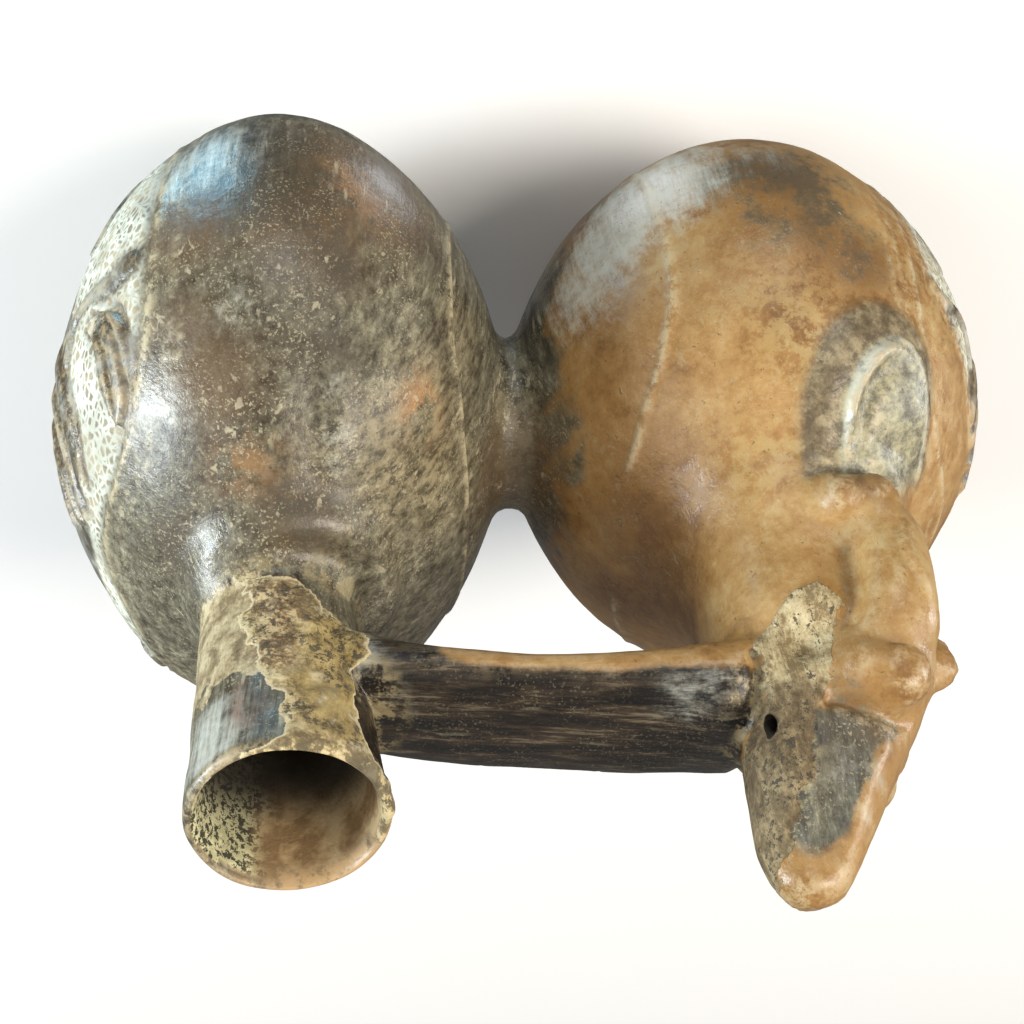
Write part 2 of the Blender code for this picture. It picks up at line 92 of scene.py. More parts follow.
# Moulded side panels
PANEL_RELIEF = 0.0014

# Mesh fineness
SKIN_STEP = 0.0017
TUBE_SIDES = 96

SPOUT_CENTRE = Vector((MEETING_X + SPOUT_CHAMBER.x, 0, SPOUT_CHAMBER.z * (1 - STANDING_CUT)))
FIGURE_CENTRE = Vector((MEETING_X - FIGURE_CHAMBER.x, 0, FIGURE_CHAMBER.z * (1 - STANDING_CUT)))
SPOUT_TOP = SPOUT_CENTRE.z + SPOUT_CHAMBER.z
FIGURE_TOP = FIGURE_CENTRE.z + FIGURE_CHAMBER.z
WAIST_Z = (SPOUT_CENTRE.z + FIGURE_CENTRE.z) / 2 + 0.0030
SPOUT_AXIS = Vector((-math.sin(SPOUT_LEAN), 0, math.cos(SPOUT_LEAN)))
SPOUT_FOOT = Vector((SPOUT_CENTRE.x - SPOUT_OFFSET, 0, SPOUT_TOP - 0.002))
SPOUT_LENGTH = (SPOUT_HEIGHT + 0.002) / math.cos(SPOUT_LEAN)
ALONG = Vector((1, 0, 0))
ACROSS = Vector((0, 1, 0))
UPWARD = Vector((0, 0, 1))


def smooth_step(low, high, value):
    share = np.clip((value - low) / (high - low), 0.0, 1.0)
    return share * share * (3 - 2 * share)


def bell(value, width):
    return np.exp(-((value / width) ** 2))


# Forms of the vessel


def add_chamber(bm, centre, half, steps):
    """A round body flattened along X, its fullness set by CHAMBER_ROUNDNESS."""
    made = bmesh.ops.create_uvsphere(bm, u_segments=steps, v_segments=steps // 2, radius=1.0)
    for vert in made["verts"]:
        along, side, up = vert.co.z, vert.co.x, vert.co.y
        ring = math.hypot(side, up)
        spread = ring ** (2 / CHAMBER_ROUNDNESS - 1) if ring > 1e-9 else 0.0
        x = half.x * math.copysign(abs(along) ** (2 / CHAMBER_ROUNDNESS), along)
        vert.co = centre + Vector((x, half.y * side * spread, half.z * up * spread))


def add_ball(bm, centre, half, turn=None, steps=24):
    turn = turn or Matrix.Identity(4)
    place = Matrix.Translation(centre) @ turn @ Matrix.Diagonal((half[0], half[1], half[2], 1.0))
    bmesh.ops.create_uvsphere(bm, u_segments=steps, v_segments=steps // 2, radius=1.0, matrix=place)


def add_section(bm, centre, side, up, half_side, half_up, power=2.0, count=32):
    """One cross section of a form, shaped from a circle. Returns its edges."""
    made = bmesh.ops.create_circle(bm, cap_ends=False, segments=count, radius=1.0)
    for vert in made["verts"]:
        across = math.copysign(abs(vert.co.x) ** (2 / power), vert.co.x)
        rise = math.copysign(abs(vert.co.y) ** (2 / power), vert.co.y)
        vert.co = centre + side * (half_side * across) + up * (half_up * rise)
    return list({edge for vert in made["verts"] for edge in vert.link_edges})


def add_form(bm, sections, ring=False):
    """A skin bridged over cross sections, closed at both ends or joined into a ring."""
    loops = [add_section(bm, *section) for section in sections]
    for lower, upper in zip(loops, loops[1:]):
        bmesh.ops.bridge_loops(bm, edges=lower + upper)
    if ring:
        bmesh.ops.bridge_loops(bm, edges=loops[-1] + loops[0])
    else:
        bmesh.ops.holes_fill(bm, edges=loops[0], sides=0)
        bmesh.ops.holes_fill(bm, edges=loops[-1], sides=0)


def add_turned(bm, profile, steps):
    """The points of a body turned round Z from (height, radius) pairs that begin and end on the axis."""
    verts = [bm.verts.new((radius, 0, height)) for height, radius in profile]
    edges = [bm.edges.new(pair) for pair in zip(verts, verts[1:])]
    before = set(bm.verts) - set(verts)
    bmesh.ops.spin(
        bm, geom=verts + edges, cent=(0, 0, 0), axis=(0, 0, 1),
        angle=2 * math.pi, steps=steps, use_merge=True,
    )
    fresh = [vert for vert in bm.verts if vert not in before]
    bmesh.ops.remove_doubles(bm, verts=fresh, dist=1e-7)
    return [vert for vert in bm.verts if vert not in before]


def new_object(name, bm):
    bmesh.ops.recalc_face_normals(bm, faces=bm.faces)
    mesh = bpy.data.meshes.new(name)
    bm.to_mesh(mesh)
    bm.free()
    mesh.shade_smooth()
    thing = bpy.data.objects.new(name, mesh)
    bpy.context.scene.collection.objects.link(thing)
    return thing


def fix_modifiers(thing):
    """Replace the object's mesh by what its modifiers make of it."""
    graph = bpy.context.evaluated_depsgraph_get()
    made = bpy.data.meshes.new_from_object(thing.evaluated_get(graph))
    thing.modifiers.clear()
    old = thing.data
    thing.data = made
    bpy.data.meshes.remove(old)


def combine(thing, other, operation):
    step = thing.modifiers.new(other.name, "BOOLEAN")
    step.operation = operation
    step.solver = "MANIFOLD"
    step.object = other
    fix_modifiers(thing)
    bpy.data.objects.remove(other, do_unlink=True)


def spout_radius(share):
    return SPOUT_FOOT_RADIUS + (SPOUT_MOUTH_RADIUS - SPOUT_FOOT_RADIUS) * max(share, 0.0) ** 1.4


def lean_spout(verts):
    """Set a turned body on the spout's axis, which leans; its mouth nods forward and is nearly level."""
    for vert in verts:
        height = vert.co.z
        bend = float(smooth_step(0.45, 1.0, height / SPOUT_LENGTH))
        level = Matrix.Rotation(MOUTH_LEVEL * bend, 3, "Y")
        nod = Matrix.Rotation(MOUTH_NOD * bend, 3, "X")
        axis = nod @ level @ SPOUT_AXIS
        side = ACROSS.cross(axis).normalized()
        vert.co = SPOUT_FOOT + SPOUT_AXIS * height + side * vert.co.x + axis.cross(side) * vert.co.y


def add_spout_root(bm):
    """The lowest part of the spout, flaring into its chamber, and the soft collar round it."""
    profile = [(-0.010, 0.0)]
    for i in range(15):
        height = -0.010 + (0.42 * SPOUT_LENGTH + 0.010) * i / 14
        flare = 0.0034 * math.exp(-((max(height, 0.0) / 0.0055) ** 2))
        profile.append((height, spout_radius(height / SPOUT_LENGTH) - 0.0012 + flare))
    profile.append((0.42 * SPOUT_LENGTH, 0.0))
    lean_spout(add_turned(bm, profile, 48))
    sections = []
    for i in range(48):
        angle = 2 * math.pi * i / 48
        x = SPOUT_CENTRE.x - COLLAR_OFFSET + COLLAR_HALF_X * math.cos(angle)
        y = COLLAR_HALF_Y * math.sin(angle)
        across = abs((x - SPOUT_CENTRE.x) / SPOUT_CHAMBER.x) ** CHAMBER_ROUNDNESS
        level = (1 - across) ** (2 / CHAMBER_ROUNDNESS) - (y / SPOUT_CHAMBER.y) ** 2
        z = SPOUT_CENTRE.z + SPOUT_CHAMBER.z * math.sqrt(level) + 0.0004
        out = Vector((math.cos(angle) / COLLAR_HALF_X, math.sin(angle) / COLLAR_HALF_Y, 0)).normalized()
        sections.append((Vector((x, y, z)), out, UPWARD, COLLAR_THICKNESS, COLLAR_THICKNESS, 2.0, 16))
    add_form(bm, sections, ring=True)


def add_waist(bm):
    """The joining neck, opening like a horn into each chamber."""
    reach = 0.016
    sections = []
    for i in range(17):
        share = -1 + i / 8
        radius = WAIST_RADIUS + 0.0085 * abs(share) ** 2.6
        centre = Vector((MEETING_X + reach * share, 0, WAIST_Z))
        sections.append((centre, ACROSS, UPWARD, radius, radius, 2.0, 48))
    add_form(bm, sections)


def strap_path(share):
    """Centre line of the strap from inside the figure (0) to inside the spout (1)."""
    start = Vector((FIGURE_CENTRE.x + CAP_HALF_LENGTH * 0.55, 0, FIGURE_TOP + STRAP_FIGURE_RISE))
    end = SPOUT_FOOT + SPOUT_AXIS * (STRAP_SPOUT_RISE + 0.002)
    point = start.lerp(end, share)
    point.z += STRAP_ARCH * 4 * share * (1 - share)
    return point


def add_strap(bm):
    sections = []
    for i in range(25):
        share = i / 24
        figure_flare = math.exp(-((share / 0.26) ** 2))
        spout_flare = math.exp(-(((1 - share) / 0.22) ** 2))
        wide = STRAP_WIDTH / 2 * (1 + 0.12 * figure_flare - 0.12 * spout_flare)
        thick = STRAP_THICKNESS / 2 * (1 + 0.60 * figure_flare + 0.9 * spout_flare)
        centre = strap_path(share)
        centre.z -= STRAP_THICKNESS * (0.12 * figure_flare + 0.30 * spout_flare)
        sections.append((centre, ACROSS, UPWARD, wide, thick, 2.6, 36))
    add_form(bm, sections)


def figure_point(x, y, z):
    """A point of the figure: x forward, y to the viewer's side, z above the chamber."""
    return Vector((FIGURE_CENTRE.x - x, -y, FIGURE_TOP + z))


def add_cap(bm):
    """A tall rounded pyramid: its front slopes back to the tip and its back stands upright."""
    hull = bmesh.new()
    low = HEAD_RISE + 0.0050
    edge = CAP_HALF_WIDTH * 0.32
    tip = CAP_HEIGHT - CAP_TIP_RADIUS
    spots = [(-CAP_HALF_LENGTH * 0.62, 0, tip, CAP_TIP_RADIUS)]
    spots.append((-CAP_HALF_LENGTH * 0.62, 0, tip - 0.0060, CAP_TIP_RADIUS * 1.25))
    spots.append((-CAP_HALF_LENGTH * 0.50, 0, tip - 0.0012, CAP_TIP_RADIUS))
    for side in (-1, 1):
        wide = side * (CAP_HALF_WIDTH - edge)
        spots.append((CAP_HALF_LENGTH - edge, wide * 0.58, low - 0.0035, edge))
        spots.append((CAP_HALF_LENGTH * 0.46, wide, low, edge))
        spots.append((-CAP_HALF_LENGTH * 0.50, wide, low + 0.0030, edge))
        spots.append((-CAP_HALF_LENGTH + edge + 0.0032, wide * 0.50, low, edge))
    for x, y, z, radius in spots:
        add_ball(hull, figure_point(x, y, z), (radius,) * 3)
    made = bmesh.ops.convex_hull(hull, input=hull.verts, use_existing_faces=False)
    loose = [item for item in made["geom_interior"] if isinstance(item, bmesh.types.BMVert)]
    bmesh.ops.delete(hull, geom=loose, context="VERTS")
    keep = bpy.data.meshes.new("cap_hull")
    hull.to_mesh(keep)
    hull.free()
    bm.from_mesh(keep)
    bpy.data.meshes.remove(keep)


def add_head(bm):
    """A bowed head: a rounded skull, a nose, a chin, and an ear with the lock behind it."""
    bow = Matrix.Rotation(math.radians(-22), 4, "Y")
    slope = Matrix.Rotation(math.radians(20), 4, "Y")
    radius = HEAD_RADIUS
    skull = figure_point(0.0050, 0, HEAD_RISE - 0.0010)
    add_ball(bm, skull, (radius, radius * 0.95, radius * 1.08), slope, steps=36)
    face = figure_point(0.0098, 0, HEAD_RISE - 0.0058)
    add_ball(bm, face, (radius * 0.74, radius * 0.86, radius * 0.88), steps=36)
    add_ball(bm, figure_point(0.0205, 0, HEAD_RISE - 0.0070), (0.0062, 0.0040, 0.0064), bow)
    add_ball(bm, figure_point(0.0152, 0, HEAD_RISE - 0.0138), (0.0046, 0.0056, 0.0040), bow)
    for side in (-1, 1):
        ear = figure_point(0.0072, side * radius * 0.97, HEAD_RISE + 0.0085)
        add_ball(bm, ear, (0.0044, 0.0036, 0.0054), bow)
        lock = figure_point(0.0020, side * radius * 0.93, HEAD_RISE + 0.0050)
        add_ball(bm, lock, (0.0050, 0.0034, 0.0074), bow)
        cheek = figure_point(0.0108, side * radius * 0.80, HEAD_RISE + 0.0010)
        add_ball(bm, cheek, (0.0056, 0.0044, 0.0080), bow)


def add_torso(bm):
    sections = []
    for height, forward, long, wide in (
        (-0.0160, 0.0007, 1.30, 1.34),
        (-0.0066, 0.0007, 1.21, 1.20),
        (-0.0030, 0.0007, 1.12, 1.09),
        (0.0020, 0.0007, 1.04, 1.00),
        (0.0090, -0.0003, 0.95, 0.90),
        (0.0180, -0.0018, 0.86, 0.84),
        (0.0245, -0.0024, 0.80, 0.80),
        (0.0290, -0.0024, 0.74, 0.62),
        (0.0320, -0.0020, 0.64, 0.46),
    ):
        centre = figure_point(forward, 0, height)
        sections.append((centre, ALONG, ACROSS, TORSO_HALF_LENGTH * long, TORSO_HALF_WIDTH * wide, 2.5, 36))
    add_form(bm, sections)


def add_arms(bm):
    for side in (-1, 1):
        top = TORSO_HALF_WIDTH * 0.64
        sections = []
        for height, forward, out, half_x, half_y in (
            (0.0336, 0.0098, -0.04, 0.60, 0.56),
            (0.0304, 0.0104, 0.02, 1.00, 0.88),
            (0.0250, 0.0108, 0.08, 1.06, 1.00),
            (0.0170, 0.0124, 0.13, 0.98, 0.98),
            (0.0110, 0.0132, 0.18, 0.90, 0.94),
            (0.0078, 0.0120, 0.23, 0.78, 0.82),
            (0.0050, 0.0108, 0.26, 0.60, 0.60),
        ):
            point = figure_point(forward, side * (top + out * TORSO_HALF_WIDTH), height)
            sections.append((point, ALONG, ACROSS, ARM_RADIUS * half_x, ARM_RADIUS * half_y, 2.0, 24))
        add_form(bm, sections)
        fist = figure_point(0.0106, side * TORSO_HALF_WIDTH, 0.0040)
        roll = Matrix.Rotation(math.radians(side * 38), 4, "X")
        add_ball(bm, fist, (HAND_RADIUS * 0.76, HAND_RADIUS * 0.74, HAND_RADIUS * 0.70), roll)
        thumb = figure_point(0.0050, side * TORSO_HALF_WIDTH * 1.01, 0.0030)
        add_ball(bm, thumb, (HAND_RADIUS * 0.58, HAND_RADIUS * 0.60, HAND_RADIUS * 0.62), roll)


# Reading and moving a mesh's points


def places_of(mesh):
    flat = np.empty(len(mesh.vertices) * 3, np.float32)
    mesh.vertices.foreach_get("co", flat)
    return flat.reshape(-1, 3).astype(float)


def normals_of(mesh):
    flat = np.empty(len(mesh.vertices) * 3, np.float32)
    mesh.vertex_normals.foreach_get("vector", flat)
    return flat.reshape(-1, 3).astype(float)


def set_places(mesh, places):
    mesh.vertices.foreach_set("co", places.astype(np.float32).ravel())
    mesh.update()


def edges_of(mesh):
    flat = np.empty(len(mesh.edges) * 2, np.int32)
    mesh.edges.foreach_get("vertices", flat)
    return flat.reshape(-1, 2)


def neighbour_mean(edges, values):
    """The mean of a value over each point's neighbours."""
    count = np.bincount(edges.ravel(), minlength=len(values))
    total = np.bincount(edges[:, 0], weights=values[edges[:, 1]], minlength=len(values))
    total += np.bincount(edges[:, 1], weights=values[edges[:, 0]], minlength=len(values))
    return total / np.maximum(count, 1)


# Relief drawn on the skin


def curve_through(points, parts=6):
    """Points on a smooth curve through the given ones."""
    points = [np.array(point, float) for point in points]
    ends = [2 * points[0] - points[1]] + points + [2 * points[-1] - points[-2]]
    made = []
    for i in range(len(points) - 1):
        a, b, c, d = ends[i : i + 4]
        for k in range(parts):
            t = k / parts
            square = (2 * a - 5 * b + 4 * c - d) * t ** 2
            cube = (3 * b - a - 3 * c + d) * t ** 3
            made.append(0.5 * (2 * b + (c - a) * t + square + cube))
    return made + [points[-1]]


def line_distance(side, up, points):
    """Distance of each place from a drawn line, and its share along the line."""
    curve = curve_through(points)
    best = np.full(side.shape, 9.0)
    share = np.zeros(side.shape)
    steps = len(curve) - 1
    for i, (start, end) in enumerate(zip(curve, curve[1:])):
        run = end - start
        t = np.clip(((side - start[0]) * run[0] + (up - start[1]) * run[1]) / (run @ run), 0.0, 1.0)
        far = np.hypot(side - start[0] - t * run[0], up - start[1] - t * run[1])
        closer = far < best
        best = np.where(closer, far, best)
        share = np.where(closer, (i + t) / steps, share)
    return best, share


def leaf(side, up, points, half_width):
    """A pointed leaf along a line: 1 on its spine, 0 at its edge."""
    far, share = line_distance(side, up, points)
    width = half_width * np.sqrt(np.clip(4 * share * (1 - share), 0.0, 1.0)) + 1e-6
    return np.clip(1 - far / width, 0.0, 1.0)


def panel_outline(angle):
    """Radius of a moulded panel's border, as a share of the chamber's half size, by angle from up."""
    return 0.885 - 0.17 * bell(angle, 0.50) - 0.03 * bell(np.abs(angle) - math.pi, 0.5)


# The bird of each panel in shares of the chamber's half size: side, up
NECK_RIBS = (
    (((0.13, 0.64), (0.22, 0.55), (0.285, 0.45), (0.32, 0.34), (0.33, 0.20), (0.29, 0.02)), 0.042),
    (((0.06, 0.66), (0.10, 0.58), (0.17, 0.49), (0.215, 0.38), (0.23, 0.24), (0.20, 0.04)), 0.028),
    (((0.00, 0.60), (0.05, 0.52), (0.105, 0.42), (0.135, 0.30), (0.14, 0.14)), 0.022),
    (((-0.06, 0.55), (-0.01, 0.46), (0.04, 0.36), (0.055, 0.24), (0.05, 0.10)), 0.022),
)
WING = ((0.450, 0.70), (0.535, 0.60), (0.595, 0.49), (0.610, 0.36))
WING_GROOVE = ((0.520, 0.665), (0.612, 0.565), (0.668, 0.450), (0.664, 0.350))
FAR_WING = ((-0.455, 0.70), (-0.56, 0.58), (-0.62, 0.46), (-0.64, 0.33))
LOWER_BAND = ((0.40, 0.30), (0.50, 0.22), (0.60, 0.24), (0.68, 0.30), (0.745, 0.31))
LOWER_LINE = ((0.48, 0.13), (0.60, 0.125), (0.705, 0.191), (0.78, 0.215))
SIDE_DROP = ((0.775, 0.22), (0.785, 0.13), (0.770, 0.01))
LOW_FEATHERS = (
    ((0.58, -0.06), (0.65, -0.22), (0.66, -0.44)),
    ((-0.50, 0.12), (-0.66, 0.10), (-0.82, 0.16)),
    ((-0.58, -0.04), (-0.65, -0.22), (-0.66, -0.44)),
    ((0.18, -0.40), (0.28, -0.60), (0.33, -0.80)),
    ((-0.18, -0.40), (-0.28, -0.60), (-0.33, -0.80)),
    ((0.0, -0.42), (0.0, -0.62), (0.0, -0.83)),
)
BOSS = (0.572, 0.350)

# Edge of the figure panel's ground: radius by degrees from up
FIGURE_GROUND_ANGLES = (0, 30, 49, 69, 90, 130, 180)
FIGURE_GROUND_RADII = (0.500, 0.540, 0.610, 0.820, 0.850, 0.840, 0.820)


def body_disc(side, up):
    turned = np.abs(np.arctan2(side, up))
    reach = 0.64 - 0.13 * smooth_step(0.40, 1.10, turned) - 0.10 * smooth_step(2.0, 2.8, turned)
    return reach - np.hypot(side, up)


def bird_parts(side, up):
    """The bird's relief, where its smooth bands lie, and its dark grooves."""
    inner = body_disc(side, up)
    lift = 0.55 * smooth_step(0.0, 0.05, inner)
    band = smooth_step(0.0, 0.02, inner)
    groove = np.zeros(side.shape)
    for points, half_width in NECK_RIBS:
        far, share = line_distance(side, up, points)
        ends = smooth_step(0.0, 0.12, share) * smooth_step(1.0, 0.8, share)
        rib = np.sqrt(np.clip(1 - (far / half_width) ** 2, 0.0, 1.0))
        lift = np.maximum(lift, 0.50 + 0.72 * rib * ends)
        groove = np.maximum(groove, bell(far - half_width, 0.007) * ends)
    rings = bell(np.sin(math.pi * (inner - 0.16) / 0.052), 0.35)
    rings = rings * smooth_step(0.10, 0.16, inner) * (up < 0.05)
    lift -= 0.35 * rings
    for points, half_width in ((WING, 0.078), (FAR_WING, 0.078)):
        shape = leaf(side, up, points, half_width)
        far, share = line_distance(side, up, points)
        ends = smooth_step(0.05, 0.2, share) * smooth_step(1.0, 0.8, share)
        lines = bell(far - half_width * 0.30, 0.0075) * ends
        lift = np.maximum(lift, smooth_step(0.0, 0.30, shape) * (1.15 - 0.60 * lines))
        band = np.maximum(band, smooth_step(0.0, 0.15, shape))
        groove = np.maximum(groove, 0.8 * lines)
    far, share = line_distance(side, up, WING_GROOVE)
    deep = bell(far, 0.013) * smooth_step(0.0, 0.15, share) * smooth_step(1.0, 0.85, share)
    lift -= 0.65 * deep
    groove = np.maximum(groove, deep)
    far, share = line_distance(side, up, LOWER_BAND)
    half_width = 0.024 + 0.026 * smooth_step(0.45, 0.85, share)
    shape = np.sqrt(np.clip(1 - (far / half_width) ** 2, 0.0, 1.0))
    lift = np.maximum(lift, 1.05 * shape)
    band = np.maximum(band, smooth_step(0.0, 0.4, shape))
    groove = np.maximum(groove, 0.8 * bell(far - half_width - 0.006, 0.008))
    far, share = line_distance(side, up, LOWER_LINE)
    lift = np.maximum(lift, 0.7 * bell(far, 0.014))
    shape = leaf(side, up, SIDE_DROP, 0.062)
    lift = np.maximum(lift, 0.75 * bell(shape - 0.28, 0.16) + 0.35 * smooth_step(0.2, 0.6, shape))
    for points in LOW_FEATHERS:
        shape = leaf(side, up, points, 0.082)
        spine = bell(shape - 1.0, 0.10)
        lift = np.maximum(lift, smooth_step(0.0, 0.35, shape) * (0.95 - 0.40 * spine))
        band = np.maximum(band, smooth_step(0.0, 0.15, shape))
    far = np.hypot(side - BOSS[0], up - BOSS[1])
    ring = bell(far - 0.036, 0.010)
    lift = lift * (1 - 0.75 * ring) + 0.35 * bell(far, 0.022)
    groove = np.maximum(groove, ring * (far < 0.06))
    return lift, band, groove


def panel_parts(side, up, inner_edge=None):
    """Relief, ground, bands, raised lines and dark grooves of a whole moulded panel."""
    share = np.hypot(side, up)
    angle = np.arctan2(side, up)
    border = panel_outline(angle)
    ridge = bell(share - border, 0.0105)
    within = smooth_step(border - 0.010, border - 0.040, share)
    ground = within
    if inner_edge:
        second = np.interp(np.degrees(np.abs(angle)), *inner_edge)
        ridge = np.maximum(ridge, bell(share - second, 0.0120))
        ground = smooth_step(second - 0.010, second - 0.035, share)
    bird, band, groove = bird_parts(side, up)
    lines = np.maximum(bell(share - border - 0.040, 0.0045), bell(share - border - 0.062, 0.0045))
    lift = 0.20 * ridge - 0.34 * ground + 0.95 * bird * ground - 0.08 * lines
    return lift, ground * (1 - band), band * ground, np.maximum(ridge, 0.5 * lines), groove * ground


def panel_places(places, centre, half):
    side = -places[:, 1] / half.y
    up = (places[:, 2] - centre.z) / half.z
    return side, up


def on_spout_panel(places):
    return (places[:, 0] - SPOUT_CENTRE.x > 0.30 * SPOUT_CHAMBER.x) & (places[:, 2] < SPOUT_TOP - 0.004)


def on_figure_panel(places):
    return (FIGURE_CENTRE.x - places[:, 0] > 0.38 * FIGURE_CHAMBER.x) & (places[:, 2] < FIGURE_TOP - 0.010)


def panel_maps(places):
    """Relief and masks of both panels, over all the places."""
    maps = np.zeros((5, len(places)))
    chosen = on_spout_panel(places)
    side, up = panel_places(places[chosen], SPOUT_CENTRE, SPOUT_CHAMBER)
    maps[:, chosen] = panel_parts(side, up)
    chosen = on_figure_panel(places)
    side, up = panel_places(places[chosen], FIGURE_CENTRE, FIGURE_CHAMBER)
    maps[:, chosen] = panel_parts(side * 1.045, up * 1.045, (FIGURE_GROUND_ANGLES, FIGURE_GROUND_RADII))
    return maps


def chamber_fullness(places, centre, half):
    """1 on a plain chamber's skin, more outside it."""
    rel = (places - np.array(centre)) / np.array(half)
    ring = np.hypot(rel[:, 1], rel[:, 2])
    return np.abs(rel[:, 0]) ** CHAMBER_ROUNDNESS + ring ** CHAMBER_ROUNDNESS


def leg_parts(places, slack=0.0):
    """The bent leg in low relief below the hand, on both sides: its lift, then its pad, shin and crest."""
    forward = (FIGURE_CENTRE.x - places[:, 0]) / FIGURE_CHAMBER.x
    side = np.abs(places[:, 1]) / FIGURE_CHAMBER.y
    up = (places[:, 2] - FIGURE_CENTRE.z) / FIGURE_CHAMBER.z
    reach = np.arctan2(side, up)
    near = (side > 0.2) & (up > 0.2) & (forward > -0.5)
    fullness = chamber_fullness(places, FIGURE_CENTRE, FIGURE_CHAMBER)
    on_chamber = smooth_step(1.140 + slack, 1.065 + slack, fullness)
    fade = smooth_step(0.26, 0.40, reach) * near * on_chamber
    slant = forward - 0.16 * np.maximum(reach - 0.62, 0.0)
    pad = 1 - np.hypot((slant - 0.255) / 0.300, np.maximum(reach - 0.62, 0.0) / 0.375)
    shin = 1 - np.hypot((slant - 0.305) / 0.190, np.maximum(reach - 0.55, 0.0) / 0.290)
    right = smooth_step(0.36, 0.22, slant)
    down = smooth_step(0.36, 0.60, reach)
    crest = bell(shin - 0.14, 0.050 + 0.055 * bell(reach - 0.72, 0.13)) * right * down
    rim = bell(shin - 0.03, 0.045) * (1 - right)
    fold = bell(shin - 0.40, 0.13) * right * down
    dome = 1 - (1 - np.clip(pad / 0.50, 0.0, 1.0)) ** 2
    rise = smooth_step(-0.04, 0.16, shin)
    height = dome * (0.30 + 0.55 * down) + 0.34 * rise * (0.4 + 0.6 * down)
    height = height + 0.50 * crest + 0.20 * rim - 0.42 * fold
    on_pad = smooth_step(0.0, 0.16, pad) * fade
    on_shin = smooth_step(-0.03, 0.05, shin) * fade
    return height * fade, on_pad, on_shin, np.maximum(crest, 0.8 * rim) * fade


# Radius of the thin line on each chamber's inner side, by degrees from up
INNER_ANGLES = (0, 15, 34, 45, 55, 65, 82, 120, 180)
SPOUT_INNER_RADII = (0.575, 0.580, 0.609, 0.640, 0.664, 0.668, 0.667, 0.660, 0.630)
FIGURE_INNER_RADII = (0.740, 0.765, 0.815, 0.852, 0.874, 0.879, 0.866, 0.860, 0.830)


def inner_border_lines(places):
    """Thin raised lines on the inner side of each chamber, facing the waist."""
    lift = np.zeros(len(places))
    side, up = panel_places(places, SPOUT_CENTRE, SPOUT_CHAMBER)
    share = np.hypot(side, up)
    angle = np.degrees(np.abs(np.arctan2(side, up)))
    inner = (places[:, 0] < SPOUT_CENTRE.x - 0.3 * SPOUT_CHAMBER.x) & (places[:, 0] > MEETING_X)
    inner &= places[:, 2] < SPOUT_TOP - 0.003
    lift += inner * bell(share - np.interp(angle, INNER_ANGLES, SPOUT_INNER_RADII), 0.0085)
    side, up = panel_places(places, FIGURE_CENTRE, FIGURE_CHAMBER)
    share = np.hypot(side, up)
    angle = np.degrees(np.abs(np.arctan2(side, up)))
    inner = (places[:, 0] > FIGURE_CENTRE.x + 0.25 * FIGURE_CHAMBER.x) & (places[:, 0] < MEETING_X)
    fade = smooth_step(14, 24, angle)
    lift += inner * fade * 0.9 * bell(share - np.interp(angle, INNER_ANGLES, FIGURE_INNER_RADII), 0.0095)
    return lift


def figure_places(places):
    """Forward, side and height of each place in the figure's own measures."""
    forward = FIGURE_CENTRE.x - places[:, 0]
    return forward, np.abs(places[:, 1]), places[:, 2] - FIGURE_TOP


def blob(values, centres, sizes):
    total = sum(((value - centre) / size) ** 2 for value, centre, size in zip(values, centres, sizes))
    return np.exp(-total)


def face_relief(places):
    """Brow, closed lids, wings of the nose and lips in low relief, placed by plain proportions."""
    forward, side, height = figure_places(places)
    here = (forward, side, height)
    lift = 0.0007 * blob(here, (0.0185, 0.0042, 0.0292), (0.0050, 0.0036, 0.0010))
    lift -= 0.0007 * blob(here, (0.0185, 0.0046, 0.0268), (0.0050, 0.0030, 0.0011))
    lift += 0.0010 * blob(here, (0.0185, 0.0046, 0.0256), (0.0050, 0.0024, 0.0011))
    lift -= 0.0005 * blob(here, (0.0185, 0.0046, 0.0247), (0.0050, 0.0026, 0.0005))
    lift += 0.0006 * blob(here, (0.0250, 0.0026, 0.0186), (0.0040, 0.0014, 0.0012))
    lift += 0.0008 * blob(here, (0.0190, 0.0, 0.0161), (0.0050, 0.0032, 0.0008))
    lift -= 0.0006 * blob(here, (0.0190, 0.0, 0.0152), (0.0050, 0.0036, 0.0005))
    lift += 0.0008 * blob(here, (0.0190, 0.0, 0.0143), (0.0050, 0.0028, 0.0008))
    return lift * (height > 0.008) * (height < 0.034) * (forward > 0.010)


def fold_line(first, second, points, width):
    """1 along a drawn line over two measures, falling off over the width."""
    far, share = line_distance(first, second, points)
    return bell(far, width) * smooth_step(0.0, 0.10, share) * smooth_step(1.0, 0.90, share)


# Lines drawn on the figure's side: forward, height
BRIM_LINE = ((0.0165, 0.0395), (0.0120, 0.0420), (0.0055, 0.0446), (-0.0025, 0.0420), (-0.0055, 0.0430))
CAP_RIDGE = ((-0.0086, 0.0718), (-0.0029, 0.0612), (0.0008, 0.0541), (0.0062, 0.0470))
CAP_CRACK = ((-0.0160, 0.0690), (-0.0128, 0.0607), (-0.0088, 0.0522), (-0.0076, 0.0461))
SHOULDER_FOLD = ((0.0016, 0.0300), (0.0034, 0.0210), (0.0042, 0.0110))


